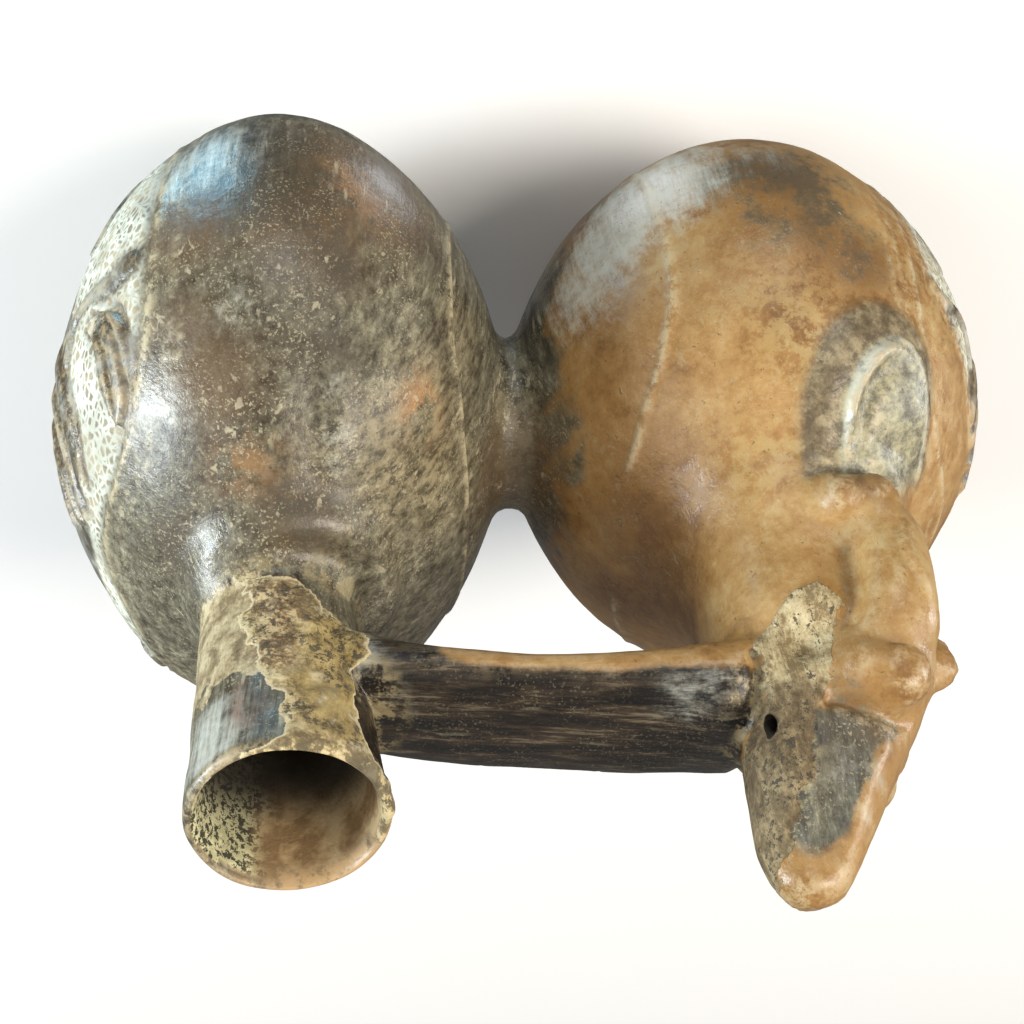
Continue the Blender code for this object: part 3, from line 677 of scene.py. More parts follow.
def head_relief(places):
    """The ear, the lock behind it, the swell of the head and the cap's brim above them."""
    forward, side, height = figure_places(places)
    here = (forward, side, height)
    on_side = smooth_step(0.0050, 0.0085, side)
    lift = 0.0019 * blob(here, (0.0098, 0.0150, 0.0390), (0.0038, 0.0070, 0.0044))
    lift += 0.0017 * blob(here, (0.0023, 0.0150, 0.0370), (0.0036, 0.0070, 0.0044))
    lift += 0.0013 * blob(here, (0.0065, 0.0150, 0.0345), (0.0100, 0.0070, 0.0085))
    lift -= 0.0013 * fold_line(forward, height, BRIM_LINE, 0.0012) * on_side
    ring = np.hypot((forward - 0.0088) / 0.0025, (height - 0.0392) / 0.0031)
    opening = 1 - bell(np.arctan2(height - 0.0392, forward - 0.0088), 0.6)
    whorl = 0.0003 * bell(ring - 1.0, 0.28) * opening - 0.0003 * bell(ring, 0.45)
    lift += whorl * smooth_step(0.010, 0.0125, side)
    return lift


def cap_relief(places):
    """The crisp edge down the front of each of the cap's sides and the hollow facet behind it."""
    forward, side, height = figure_places(places)
    above = (height > 0.040) * smooth_step(0.0003, 0.0020, side)
    lift = 0.0005 * fold_line(forward, height, CAP_RIDGE, 0.0015)
    lift -= 0.0004 * fold_line(forward + 0.0045, height, CAP_RIDGE, 0.0028)
    lift -= 0.0004 * fold_line(forward, height, CAP_CRACK, 0.0005)
    return lift * above


def arm_relief(places):
    """The full upper arm, the fold behind it and the soft groove down its outer side."""
    forward, side, height = figure_places(places)
    outside = smooth_step(0.012, 0.017, side)
    lift = 0.0009 * blob((forward, height), (0.0112, 0.0200), (0.0050, 0.0090))
    lift -= 0.0012 * fold_line(forward, height, SHOULDER_FOLD, 0.0019)
    middle = 0.0122 + 0.0012 * np.sin(height / 0.004)
    fade = smooth_step(0.009, 0.014, height) * smooth_step(0.030, 0.024, height)
    groove = 0.0003 * bell(forward - middle - 0.0022, 0.0012) - 0.0005 * bell(forward - middle, 0.0009)
    lift += fade * groove
    return lift * outside


def hand_relief(places):
    """The thumb, the grooves between the fingers, and the ledge behind the hand."""
    forward, side, height = figure_places(places)
    here = (forward, side, height)
    lift = 0.0014 * blob(here, (0.0038, 0.0262, 0.0056), (0.0030, 0.0050, 0.0032))
    fist = blob(here, (0.0112, TORSO_HALF_WIDTH + 0.002, 0.0036), (0.0060, 0.0060, 0.0058))
    slant = (forward - 0.0106) * 0.80 + (height - 0.0040) * 0.60
    gaps = bell(np.sin(math.pi * slant / 0.0030), 0.40)
    lift -= 0.00035 * gaps * smooth_step(0.25, 0.60, fist) * (forward > 0.0066)
    ledge = smooth_step(-0.0056, -0.0042, height) * smooth_step(0.006, 0.000, height)
    ledge = 0.0004 * ledge * smooth_step(0.014, 0.020, side)
    lift += ledge * smooth_step(-0.018, -0.012, forward) * (forward < 0.004)
    return lift


def strap_relief(places):
    """The strap's rounded end where it is stuck to the nape, and the crease before it."""
    forward, side, height = figure_places(places)
    near = (places[:, 1] < 0.016) & (height > 0.026) & (height < 0.052)
    knuckle = blob(places.T, (-0.0272, -0.0070, 0.1535), (0.0052, 0.0090, 0.0080))
    crease = bell(forward + 0.0150, 0.0011) * smooth_step(0.0480, 0.0450, height)
    crease = crease * smooth_step(0.0310, 0.0340, height)
    return near * (0.0019 * knuckle - 0.0014 * crease * smooth_step(0.0020, 0.0050, side))


# The spout's crust, lip and painted sheen reach no farther than this from its axis
NEAR_SPOUT = 0.021


def spout_places(places):
    """Share of the spout's height, degrees from the viewer's side and distance from its axis."""
    rel = places - np.array(SPOUT_FOOT)
    axis = np.array(SPOUT_AXIS)
    height = rel @ axis
    out = rel - np.outer(height, axis)
    turn = np.degrees(np.arctan2(out[:, 0], -out[:, 1]))
    return height / SPOUT_LENGTH, turn, np.linalg.norm(out, axis=1)


# Left and right edges of the crust on the spout: degrees round it, by share of its height
CRUST_SHARES = (0.10, 0.17, 0.25, 0.32, 0.50, 0.63, 0.72, 0.86, 0.93, 1.00)
CRUST_LEFT = (-8, -18, -32, -47, -50, -50, -50, -50, -57, -66)
CRUST_RIGHT = (27, 26, 24, 22, 17, 13, 6, -1, -8, -20)


def spout_crust(places):
    """Where the clay crust clings to the spout's front, from the lip down to the collar."""
    share, turn, far = spout_places(places)
    wobble = 5 * waves(places, 0.012, 3) + 4 * waves(places, 0.005, 4)
    left = np.interp(share, CRUST_SHARES, CRUST_LEFT) + 0.6 * wobble
    right = np.interp(share, CRUST_SHARES, CRUST_RIGHT) + wobble
    mask = smooth_step(-4.0, 4.0, turn - left) * smooth_step(-4.0, 4.0, right - turn)
    lip = smooth_step(0.93, 0.96, share + 0.02 * waves(places, 0.008, 8))
    lip *= smooth_step(-120, -95, turn) * smooth_step(34, 14, turn)
    near = (share > 0.06) & (far < NEAR_SPOUT) & (far > SPOUT_FOOT_RADIUS - 0.002)
    return np.maximum(mask, lip) * near * smooth_step(0.07, 0.15, share + 0.03 * waves(places, 0.010, 9))


def spout_wash(places):
    """Where thin pale clay streaks the lower right of the spout and the gap under its collar."""
    share, turn, far = spout_places(places)
    top = 0.62 + 0.05 * waves(places, 0.008, 10)
    mask = smooth_step(top, top - 0.06, share) * smooth_step(0.06, 0.14, share) * smooth_step(5, 16, turn)
    return mask * smooth_step(100, 70, turn) * (far < 0.019)


def mustard_crust(places):
    """The yellower, speckled left part of the spout's crust."""
    share, turn, far = spout_places(places)
    wobble = 5 * waves(places, 0.009, 13)
    right = np.interp(share, (0.20, 0.40, 0.60, 0.85), (-24, -16, -8, -12)) + wobble
    mask = smooth_step(-5, 5, right - turn) * smooth_step(0.20, 0.30, share)
    return mask * smooth_step(0.95, 0.88, share) * (far < NEAR_SPOUT)


def red_crust(places):
    """The brown flaked part at the lower right of the spout's crust, and the red streak beside it."""
    share, turn, far = spout_places(places)
    wobble = 5 * waves(places, 0.008, 14)
    mask = smooth_step(-16, -8, turn + wobble) * smooth_step(18, 10, turn + wobble)
    mask *= smooth_step(0.12, 0.20, share) * smooth_step(0.66, 0.58, share)
    streak = bell(turn - 22 - wobble, 9) * smooth_step(0.60, 0.68, share) * smooth_step(0.92, 0.80, share)
    return np.maximum(mask, 0.8 * streak) * (far < NEAR_SPOUT)


def pipe_hole(places):
    """1 along the small hole's line: on its wall by the strap, and where the line leaves the chest."""
    start = np.array(figure_point(*HOLE_START))
    end = np.array(figure_point(*HOLE_END))
    run = (end - start) / np.linalg.norm(end - start)
    rel = places - end
    along = rel @ run
    far = np.linalg.norm(rel - np.outer(along, run), axis=1)
    return smooth_step(1.12, 1.03, far / WHISTLE_RADIUS) * (along < 0.001)


# Edges of the crust on the cap's back and the nape: forward place, by height
NAPE_LEFT_HEIGHTS = (0.0212, 0.0248, 0.0313, 0.0413, 0.0461, 0.0522, 0.0607, 0.0691, 0.0720)
NAPE_LEFT = (-0.0012, 0.0010, -0.0012, -0.0057, -0.0072, -0.0086, -0.0126, -0.0158, -0.0165)
NAPE_RIGHT_HEIGHTS = (0.0205, 0.0241, 0.0295, 0.0394, 0.0450, 0.0472)
NAPE_RIGHT = (-0.0030, -0.0080, -0.0138, -0.0147, -0.0165, -0.0400)


def nape_crust(places):
    """Where the clay crust clings to the back of the cap and runs down the nape."""
    forward, side, height = figure_places(places)
    wobble = 0.0009 * waves(places, 0.010, 5) + 0.0006 * waves(places, 0.004, 6)
    left = np.interp(height, NAPE_LEFT_HEIGHTS, NAPE_LEFT) + wobble
    right = np.interp(height, NAPE_RIGHT_HEIGHTS, NAPE_RIGHT) + wobble
    mask = smooth_step(-0.0012, 0.0012, left - forward) * smooth_step(-0.0010, 0.0010, forward - right)
    reach = smooth_step(0.0200, 0.0225, height + wobble) * smooth_step(0.0725, 0.0690, height + wobble)
    return mask * reach * (places[:, 1] < 0.012)


def waves(places, size, seed):
    """Slow random swell between -1 and 1, the same each time."""
    source = np.random.default_rng(seed)
    total = np.zeros(len(places))
    for octave in range(14):
        direction = source.normal(size=3)
        direction /= np.linalg.norm(direction)
        length = size * source.uniform(0.45, 1.6)
        total += np.sin(places @ direction * (2 * math.pi / length) + source.uniform(0, 2 * math.pi))
    return np.tanh(total / 3.2)


def relief(places):
    """How far each place of the skin is raised along its normal."""
    lift = PANEL_RELIEF * panel_maps(places)[0]
    lift += LEG_RELIEF * leg_parts(places)[0]
    lift += 0.00045 * inner_border_lines(places)
    lift += face_relief(places) + head_relief(places) + cap_relief(places)
    lift += arm_relief(places) + hand_relief(places) + strap_relief(places)
    lift += 0.00040 * spout_crust(places) + 0.00035 * nape_crust(places)
    return lift


def hand_made_swell(places):
    """Slow unevenness left by hand building, and the soft fold above each side of the spout's chamber."""
    lift = 0.00022 * waves(places, 0.036, 1) + 0.00007 * waves(places, 0.012, 2)
    here = (places[:, 0], np.abs(places[:, 1]), places[:, 2])
    swelling = blob(here, (0.0345, 0.0350, 0.1060), (0.0095, 0.0150, 0.0150))
    return lift + 0.0021 * swelling * smooth_step(0.0425, 0.0375, places[:, 0])


# The skin as one mesh


def rough_skin():
    """The whole outer form, joined into one even skin."""
    bm = bmesh.new()
    add_chamber(bm, SPOUT_CENTRE, SPOUT_CHAMBER, 128)
    add_chamber(bm, FIGURE_CENTRE, FIGURE_CHAMBER, 128)
    add_waist(bm)
    add_spout_root(bm)
    add_strap(bm)
    add_torso(bm)
    add_head(bm)
    add_cap(bm)
    add_arms(bm)
    skin = new_object("vessel_clay", bm)
    grid = skin.modifiers.new("grid", "REMESH")
    grid.mode = "VOXEL"
    grid.voxel_size = SKIN_STEP
    grid.adaptivity = 0.0
    soft = skin.modifiers.new("soft", "SMOOTH")
    soft.factor = 0.5
    soft.iterations = 4
    fix_modifiers(skin)
    return skin


def refine(skin, most):
    """Divide the faces over which the relief changes the most."""
    mesh = skin.data
    lift = relief(places_of(mesh))
    bm = bmesh.new()
    bm.from_mesh(mesh)
    bm.verts.ensure_lookup_table()
    steps = []
    for face in bm.faces:
        values = [lift[vert.index] for vert in face.verts]
        steps.append(max(values) - min(values))
    least = max(sorted(steps)[-most], 0.00002)
    chosen = {edge for face, step in zip(bm.faces, steps) if step >= least for edge in face.edges}
    made = bmesh.ops.subdivide_edges(bm, edges=list(chosen), cuts=1, use_grid_fill=True)
    fresh = [item for item in made["geom_inner"] if isinstance(item, bmesh.types.BMVert)]
    bmesh.ops.smooth_vert(bm, verts=fresh, factor=0.5, use_axis_x=True, use_axis_y=True, use_axis_z=True)
    bmesh.ops.triangulate(bm, faces=[face for face in bm.faces if len(face.verts) > 4])
    bm.to_mesh(mesh)
    bm.free()


# How far each turn of softening moves the collar's points, as a share
COLLAR_SOFTENING = 0.09


def soften(skin, turns):
    """Blend the torso and the spout's collar softly into their chambers."""
    mesh = skin.data
    places = places_of(mesh)
    forward, side, height = figure_places(places)
    nape = blob((forward, height), (-0.0170, 0.0010), (0.0130, 0.0110))
    weight = 1.3 * nape * smooth_step(1.0, 0.5, side / 0.034)
    along = (places[:, 0] - SPOUT_CENTRE.x + COLLAR_OFFSET) / COLLAR_HALF_X
    out = np.hypot(along, places[:, 1] / COLLAR_HALF_Y)
    collar = bell(out - 1.05, 0.35) * smooth_step(SPOUT_TOP - 0.016, SPOUT_TOP - 0.008, places[:, 2])
    collar *= smooth_step(SPOUT_TOP + 0.010, SPOUT_TOP + 0.004, places[:, 2])
    weight = np.clip(np.maximum(weight, COLLAR_SOFTENING * collar), 0.0, 1.0)[:, None]
    edges = edges_of(mesh)
    for turn in range(turns):
        mean = np.column_stack([neighbour_mean(edges, places[:, k]) for k in range(3)])
        places = places + weight * (mean - places)
    set_places(mesh, places)


def cut_level(skin):
    """Flatten both undersides to one plane at height zero."""
    bm = bmesh.new()
    bm.from_mesh(skin.data)
    geometry = bm.verts[:] + bm.edges[:] + bm.faces[:]
    bmesh.ops.bisect_plane(
        bm, geom=geometry, dist=1e-7, plane_co=(0, 0, 0), plane_no=(0, 0, 1), clear_inner=True
    )
    rim = [edge for edge in bm.edges if edge.is_boundary]
    bmesh.ops.holes_fill(bm, edges=rim, sides=0)
    bmesh.ops.triangulate(bm, faces=[face for face in bm.faces if len(face.verts) > 4])
    bmesh.ops.recalc_face_normals(bm, faces=bm.faces)
    bm.to_mesh(skin.data)
    bm.free()


def spout_tube():
    """The clean upper part of the spout, with its rounded lip."""
    bm = bmesh.new()
    profile = [(0.0049, 0.0)]
    for i in range(41):
        share = 0.10 + 0.86 * i / 40
        profile.append((share * SPOUT_LENGTH, spout_radius(share)))
    for below, narrower in ((0.0012, 0.0001), (0.0006, 0.0004), (0.0002, 0.0008), (0.0, 0.0014)):
        profile.append((SPOUT_LENGTH - below, SPOUT_MOUTH_RADIUS - narrower))
    profile.append((SPOUT_LENGTH, 0.0))
    lean_spout(add_turned(bm, profile, TUBE_SIDES))
    tube = new_object("spout_tube", bm)
    mesh = tube.data
    places = places_of(mesh)
    crust = (0.00035 + 0.00035 * waves(places, 0.0060, 17)) * spout_crust(places)
    lift = crust + 0.00016 * waves(places, 0.016, 7)
    set_places(mesh, places + normals_of(mesh) * lift[:, None])
    return tube


def chamber_space(name, centre, chamber, steps):
    """One chamber's inside: its outer form less the wall."""
    bm = bmesh.new()
    add_chamber(bm, centre, chamber - Vector((WALL, WALL, WALL)), steps)
    return new_object(name, bm)


def waist_bore():
    """The bore through the neck, which reaches into both chambers."""
    bm = bmesh.new()
    reach = SPOUT_CHAMBER.x * 0.35 + WALL
    sections = []
    for x in (MEETING_X - reach, MEETING_X + reach):
        centre = Vector((x, 0, WAIST_Z))
        sections.append((centre, ACROSS, UPWARD, WAIST_BORE_RADIUS, WAIST_BORE_RADIUS, 2.0, 28))
    add_form(bm, sections)
    return new_object("waist_bore", bm)


def spout_bore():
    """The spout's bore, which widens towards the lip."""
    bm = bmesh.new()
    bore = SPOUT_MOUTH_RADIUS - SPOUT_LIP
    foot = SPOUT_FOOT_RADIUS - WALL
    shares = (0.0, 0.6, 0.88, 0.96)
    radii = (foot + 0.0012, bore - 0.0013, bore + 0.0001, bore + 0.0006)
    profile = [(-0.016, 0.0), (-0.016, foot + 0.0010)]
    for i in range(24):
        height = SPOUT_LENGTH * 0.96 * i / 23
        profile.append((height, np.interp(height / SPOUT_LENGTH, shares, radii)))
    for above, wider in ((-0.0010, 0.0010), (-0.0004, 0.0012), (0.0, 0.0016), (0.004, 0.0045)):
        profile.append((SPOUT_LENGTH + above, bore + wider))
    profile.append((SPOUT_LENGTH + 0.004, 0.0))
    lean_spout(add_turned(bm, profile, TUBE_SIDES))
    return new_object("spout_bore", bm)


def body_space():
    """The inside of the figure's body, open to its chamber."""
    bm = bmesh.new()
    sections = []
    for height, long, wide in (
        (-0.0140, 0.70, 0.70),
        (0.0, 0.70, 0.68),
        (0.0120, 0.64, 0.56),
        (0.0240, 0.56, 0.42),
        (0.0320, 0.44, 0.32),
        (0.0370, 0.22, 0.16),
    ):
        centre = figure_point(0.0005, 0, height)
        sections.append((centre, ALONG, ACROSS, TORSO_HALF_LENGTH * long, TORSO_HALF_WIDTH * wide, 2.0, 24))
    add_form(bm, sections)
    return new_object("body_space", bm)


def pipe_bore():
    """The small pipe hole beside the strap's end, into the figure's body."""
    bm = bmesh.new()
    start = figure_point(*HOLE_START)
    end = figure_point(*HOLE_END)
    run = (end - start).normalized()
    side = ACROSS.cross(run).normalized()
    circle = (side, run.cross(side), WHISTLE_RADIUS, WHISTLE_RADIUS, 2.0, 18)
    add_form(bm, [(start, *circle), (end, *circle)])
    return new_object("whistle_hole", bm)


def cavity():
    """The space inside, from the chambers, the bores, the figure's body and the pipe hole."""
    space = chamber_space("space", SPOUT_CENTRE, SPOUT_CHAMBER, 56)
    combine(space, waist_bore(), "UNION")
    combine(space, chamber_space("figure_space", FIGURE_CENTRE, FIGURE_CHAMBER, 48), "UNION")
    combine(space, spout_bore(), "UNION")
    combine(space, body_space(), "UNION")
    combine(space, pipe_bore(), "UNION")
    return space


def vessel_body():
    """The whole vessel: fine skin, clean spout, and the space inside taken out."""
    skin = rough_skin()
    soften(skin, 60)
    refine(skin, 7000)
    refine(skin, 4800)
    mesh = skin.data
    places = places_of(mesh)
    lift = relief(places) + hand_made_swell(places)
    set_places(mesh, places + normals_of(mesh) * lift[:, None])
    cut_level(skin)
    combine(skin, spout_tube(), "UNION")
    combine(skin, cavity(), "DIFFERENCE")
    skin.data.shade_smooth()
    return skin


# Where each finish lies, kept as values on the mesh's points


def patches(places, spots):
    """Soft round patches: each spot is (x, y, z, radius) in millimetres, then its strength."""
    total = np.zeros(len(places))
    for x, y, z, radius, strength in spots:
        far = ((places * 1000 - (x, y, z)) ** 2).sum(1)
        total = np.maximum(total, strength * np.exp(-far / radius ** 2))
    return total


ORANGE_SPOTS = (
    (24, -30, 99, 5.5, 1.0),
    (36.5, -59, 70, 8, 0.9),
    (53, -29.5, 115.5, 6, 0.5),
    (77, -34, 98, 5, 0.5),
    (60, 40, 95, 10, 0.8),
    (30, 52, 60, 12, 0.7),
)
BROWN_STAINS_AND_SHADE = (
    (63.5, -57, 81, 11, 0.8),
    (60, -41.5, 106, 12, 0.8),
    (64, -46.5, 97.5, 9, 0.7),
    (32, -58, 60, 12, 0.8),
    # On the figure chamber's top under the strap: painted shade.
    (-20, -6, 106, 17, 0.9),
    (-9, -15, 96, 13, 0.35),
    (-20, 25, 104, 18, 0.8),
    (60, 50, 80, 15, 0.8),
    # Just under the cap's brim: painted shadow of the brim.
    (-50, -10, 159.5, 4.5, 0.8),
    (-56, -17, 150, 8, 0.4),
    (-33, -50.5, 80.5, 12, 0.5),
    (-13, -28.5, 87.5, 13, 0.2),
    (-20, -40, 78, 11, 0.25),
    (-62, -49, 82.5, 9, 0.5),
    (-55, -27, 118, 6, 0.9),
    (44, -58, 82, 13, 0.8),
    (32, -57, 63, 16, 1.1),
    (3, 0, 79, 15, 0.9),
    (44, -21, 120, 8, 0.7),
)
SMOKE_SPOTS = (
    (67, -12.5, 116.5, 9, 0.6),
    (40, -45, 101, 7, 0.6),
    (46, -54.5, 91, 9, 0.6),
    (38.5, -53.5, 88.5, 7, 0.6),
    (50, -62.5, 60, 11, 0.7),
    (-47, -59, 60, 13, 0.95),
    (-52.5, -56, 74, 9, 0.62),
    (-43, -56.5, 73, 9, 0.55),
    (-59, -52, 78, 8, 0.6),
    (-37, -58, 60, 10, 0.62),
    (-45, -10, 164, 8, 0.45),
    (-45, -11.5, 159, 6.5, 0.7),
    (25, -56, 64, 16, 0.5),
    (-50, 56, 70, 18, 0.8),
    (-80, 20, 45, 20, 0.6),
    (-10, -40, 35, 15, 0.6),
    (46, -59, 74, 15, 0.75),
    (45, -47, 96, 9, 0.45),
    (3, 0, 78, 14, 0.45),
    (44, -21, 120, 8.5, 0.75),
)
TAN_SPOTS = (
    (21, -20, 102, 12, 0.9),
    (27, -24, 109, 11, 0.9),
    (23, -31, 99, 11, 0.8),
    (31, -32, 106, 9, 0.7),
    (15, -35, 80, 9, 0.5),
    (40, -30, 114, 8, 0.4),
    (30, 30, 105, 20, 0.8),
    (60, 35, 105, 16, 0.6),
)
# Pale patches: partly dust haze, partly painted sheen and highlights on the strap's rounded end, the cap's
# front, the soft fold and right side of the spout's chamber, and the lower right of the figure's chamber.
HAZE_AND_SHEEN_SPOTS = (
    (-20, -9, 152, 6.5, 0.48),
    (-24.5, -11, 150, 5.5, 0.5),
    (-49, -6, 169, 5.5, 0.4),
    (-46, -5, 175, 5, 0.4),
    (-45, -9, 168, 9, 0.36),
    (38, -33, 111, 3.6, 0.55),
    (38, -28, 114, 3.2, 0.5),
    (38.5, -39, 106, 3.6, 0.45),
    (-12, -40, 63, 11, 1.0),
    (-29, -53, 43, 12, 1.0),
    (-22, -50, 52, 15, 1.5),
    (-15, -44, 60, 12, 1.4),
    (34.5, -12, 143, 5.5, 0.7),
    (35.5, -9, 137, 5, 0.6),
    (28, -6, 146, 7, 0.32),
    (-43, -60, 50, 12, 0.45),
    (69, -34, 106, 8, 0.6),
    (30, -24.5, 109, 8, 0.25),
    (55.5, -50.5, 97.5, 9, 0.3),
    (22.5, -40.5, 87, 12, 0.15),
    (64, -60, 60, 14, 0.8),
    (-17.5, -47, 58.5, 13, 1.0),
    (-26.5, -53, 56, 13, 1.0),
    (-11, -34.5, 65.5, 11, 0.9),
    (60, 50, 90, 18, 0.6),
    (-40, 50, 85, 16, 0.5),
)
OCHRE_SPOTS = (
    (-45, -45, 93.5, 10, 0.8),
    (-38, -49, 86, 10, 0.7),
    (-27, -50.5, 73.5, 9, 0.6),
    (-39.5, -26.5, 108, 9, 0.8),
    (-63.5, -52, 75, 8, 0.7),
    (-76, -40, 80, 12, 0.8),
    (-45, 45, 90, 15, 0.7),
    (-60, -20, 133, 9, 0.6),
)
# Where the collar's hollow keeps less pale clay
BARE_HOLLOW = (44, -21, 120, 12, 1.0)


def curvature(mesh):
    """How strongly the skin turns inwards (positive) or outwards (negative), in one over metres."""
    places = places_of(mesh)
    normals = normals_of(mesh)
    edges = edges_of(mesh)
    length = ((places[edges[:, 0]] - places[edges[:, 1]]) ** 2).sum(1)
    count = np.maximum(np.bincount(edges.ravel(), minlength=len(places)), 1)
    square = np.bincount(edges[:, 0], weights=length, minlength=len(places))
    square += np.bincount(edges[:, 1], weights=length, minlength=len(places))
    mean = np.column_stack([neighbour_mean(edges, places[:, k]) for k in range(3)])
    bend = ((mean - places) * normals).sum(1) / (square / count + 1e-12) * 4
    for turn in range(5):
        bend = 0.5 * bend + 0.5 * neighbour_mean(edges, bend)
    broad = bend
    for turn in range(14):
        broad = neighbour_mean(edges, broad)
    return bend, broad


def inside_mask(places, normals):
    """1 on the walls of the space inside, 0 on the skin."""
    share, turn, far = spout_places(places)
    out = places - np.array(SPOUT_FOOT) - np.outer(share * SPOUT_LENGTH, np.array(SPOUT_AXIS))
    facing = (normals * out).sum(1) / np.maximum(far, 1e-6)
    bore = (share > 0.0) & (share < 0.985) & (far < SPOUT_MOUTH_RADIUS - 0.0012) & (facing < 0.2)
    total = bore.astype(float)
    for centre, half in ((SPOUT_CENTRE, SPOUT_CHAMBER), (FIGURE_CENTRE, FIGURE_CHAMBER)):
        rel = (places - np.array(centre)) / (np.array(half) - WALL * 0.55)
        ring = np.hypot(rel[:, 1], rel[:, 2])
        size = np.abs(rel[:, 0]) ** CHAMBER_ROUNDNESS + ring ** CHAMBER_ROUNDNESS
        total = np.maximum(total, (size < 1.0).astype(float))
    return total


# Front edge of the cap's dark side: forward place, by height
CAP_EDGE_HEIGHTS = (0.0431, 0.0486, 0.0541, 0.0612, 0.0703)
CAP_EDGE = (0.0108, 0.0052, 0.0010, -0.0029, -0.0078)


def dark_clay(places, normals):
    """Where the clay was smoked dark: the spout's chamber, the waist, the strap's top, the cap's side."""
    wobble = 0.005 * waves(places, 0.018, 11) + 0.003 * waves(places, 0.006, 12)
    x = places[:, 0]
    chambers = smooth_step(-0.014, 0.004, x + 0.6 * wobble)
    forward, side, height = figure_places(places)
    strap = (height > 0.0245) & (height < 0.0500) & (x > -0.0332) & (x < SPOUT_FOOT.x - 0.010)
    under = smooth_step(0.50, -0.25, normals[:, 2] + 0.35 * normals[:, 1] * (places[:, 1] < 0))
    under *= smooth_step(0.026, 0.016, x + wobble)
    chambers = np.where(strap, 1 - 0.85 * under, chambers)
    ridge = np.interp(height, CAP_EDGE_HEIGHTS, CAP_EDGE)
    facet = smooth_step(0.0, 0.0030, ridge - forward + 0.25 * wobble) * smooth_step(0.0020, 0.0050, side)
    facet *= smooth_step(0.0428, 0.0450, height) * smooth_step(0.0700, 0.0620, height + 0.3 * wobble)
    figure = ((height > 0.004) & (x <= -0.0332)) | ((height >= 0.0500) & (x < -0.0200))
    return np.where(figure, facet, chambers)


def strap_mask(places):
    x = places[:, 0]
    z = places[:, 2]
    start = 0.0016 * np.cos(np.clip((places[:, 1] + 0.004) / 0.0095, -1.5, 1.5))
    along = smooth_step(-0.0322, -0.0306, x + start) * smooth_step(0.040, 0.034, x)
    return along * (z > FIGURE_TOP + 0.0245) * (z < FIGURE_TOP + 0.0500)


def keep_value(mesh, name, values):
    layer = mesh.attributes.new(name, "FLOAT", "POINT")
    layer.data.foreach_set("value", np.clip(values, 0.0, 1.0).astype(np.float32))


def mark_inside(mesh, places, inside):
    """The inside, painted darker the deeper it lies as painted shade, and its right part, as seen through
    the spout's mouth.
    """
    share, turn, far = spout_places(places)
    hole = pipe_hole(places)
    keep_value(mesh, "inside", np.maximum(inside, hole))
    # Deeper inside is painted darker as shade, and the pipe hole's line gets the same painted shade.
    depth_shade = smooth_step(0.96, 0.60, share + 0.0012 * (np.abs(turn) - 140)) * inside
    keep_value(mesh, "inside_depth_shade", np.maximum(depth_shade, hole))
    right = np.where(turn > 0, turn - 360, turn) + 7 * waves(places, 0.010, 15)
    keep_value(mesh, "inside_right", smooth_step(-188, -212, right) * inside)


def mark_crusts(mesh, places, outer):
    """The dried earth on the spout and the nape, with the share where the nape's crust is painted paler as
    lit, and the lip's own colours.
    """
    share, turn, far = spout_places(places)
    on_spout = far < NEAR_SPOUT
    keep_value(mesh, "spout_crust", outer * spout_crust(places))
    keep_value(mesh, "nape_crust", outer * nape_crust(places))
    height = places[:, 2] - FIGURE_TOP
    # The nape's crust is painted paler low down, where light falls on it, and a little paler near the cap's
    # top: painted light.
    pale = np.maximum(smooth_step(0.0420, 0.0370, height), 0.10 * smooth_step(0.0500, 0.0560, height))
    keep_value(mesh, "lit_crust_share", pale * (places[:, 0] < -0.02))
    keep_value(mesh, "wash", outer * spout_wash(places))
    keep_value(mesh, "lip", smooth_step(0.93, 0.985, share) * on_spout)
    far_side = np.where(turn > 0, 360 - turn, -turn) + 9 * waves(places, 0.012, 16)
    tan_lip = smooth_step(0.93, 0.975, share) * smooth_step(96, 118, far_side)
    keep_value(mesh, "tan_lip", tan_lip * smooth_step(220, 190, far_side) * on_spout)
    keep_value(mesh, "mustard", mustard_crust(places))
    keep_value(mesh, "red_crust", red_crust(places))


def mark_panels(mesh, places, outer):
    """The parts of the side panels and the thin raised lines; returns where the panels lie."""
    ground, band, border, groove = panel_maps(places)[1:]
    keep_value(mesh, "panel_ground", outer * ground)
    keep_value(mesh, "panel_band", outer * band)
    keep_value(mesh, "panel_groove", outer * groove)
    keep_value(mesh, "raised_line", outer * np.maximum(border, 0.9 * inner_border_lines(places)))
    return ground


def mark_stains(mesh, places):
    """Soft stains and clouds with some patches of painted shade, pale haze mixed with painted sheen, and a
    painted sheen on the spout's upper right.
    """
    share, turn, far = spout_places(places)
    # A painted sheen on the spout's upper right, lightening its side.
    spout_sheen = 0.80 * bell(turn - 48, 34) * smooth_step(0.60, 0.70, share)
    spout_sheen = spout_sheen * smooth_step(0.96, 0.90, share) * (far < NEAR_SPOUT)
    keep_value(mesh, "orange_spots", patches(places, ORANGE_SPOTS))
    keep_value(mesh, "brown_stains_and_shade", patches(places, BROWN_STAINS_AND_SHADE))
    keep_value(mesh, "smoke_spots", patches(places, SMOKE_SPOTS))
    keep_value(mesh, "haze_and_sheen_spots", np.maximum(patches(places, HAZE_AND_SHEEN_SPOTS), spout_sheen))
    keep_value(mesh, "tan_spots", patches(places, TAN_SPOTS))
    keep_value(mesh, "ochre_spots", patches(places, OCHRE_SPOTS))


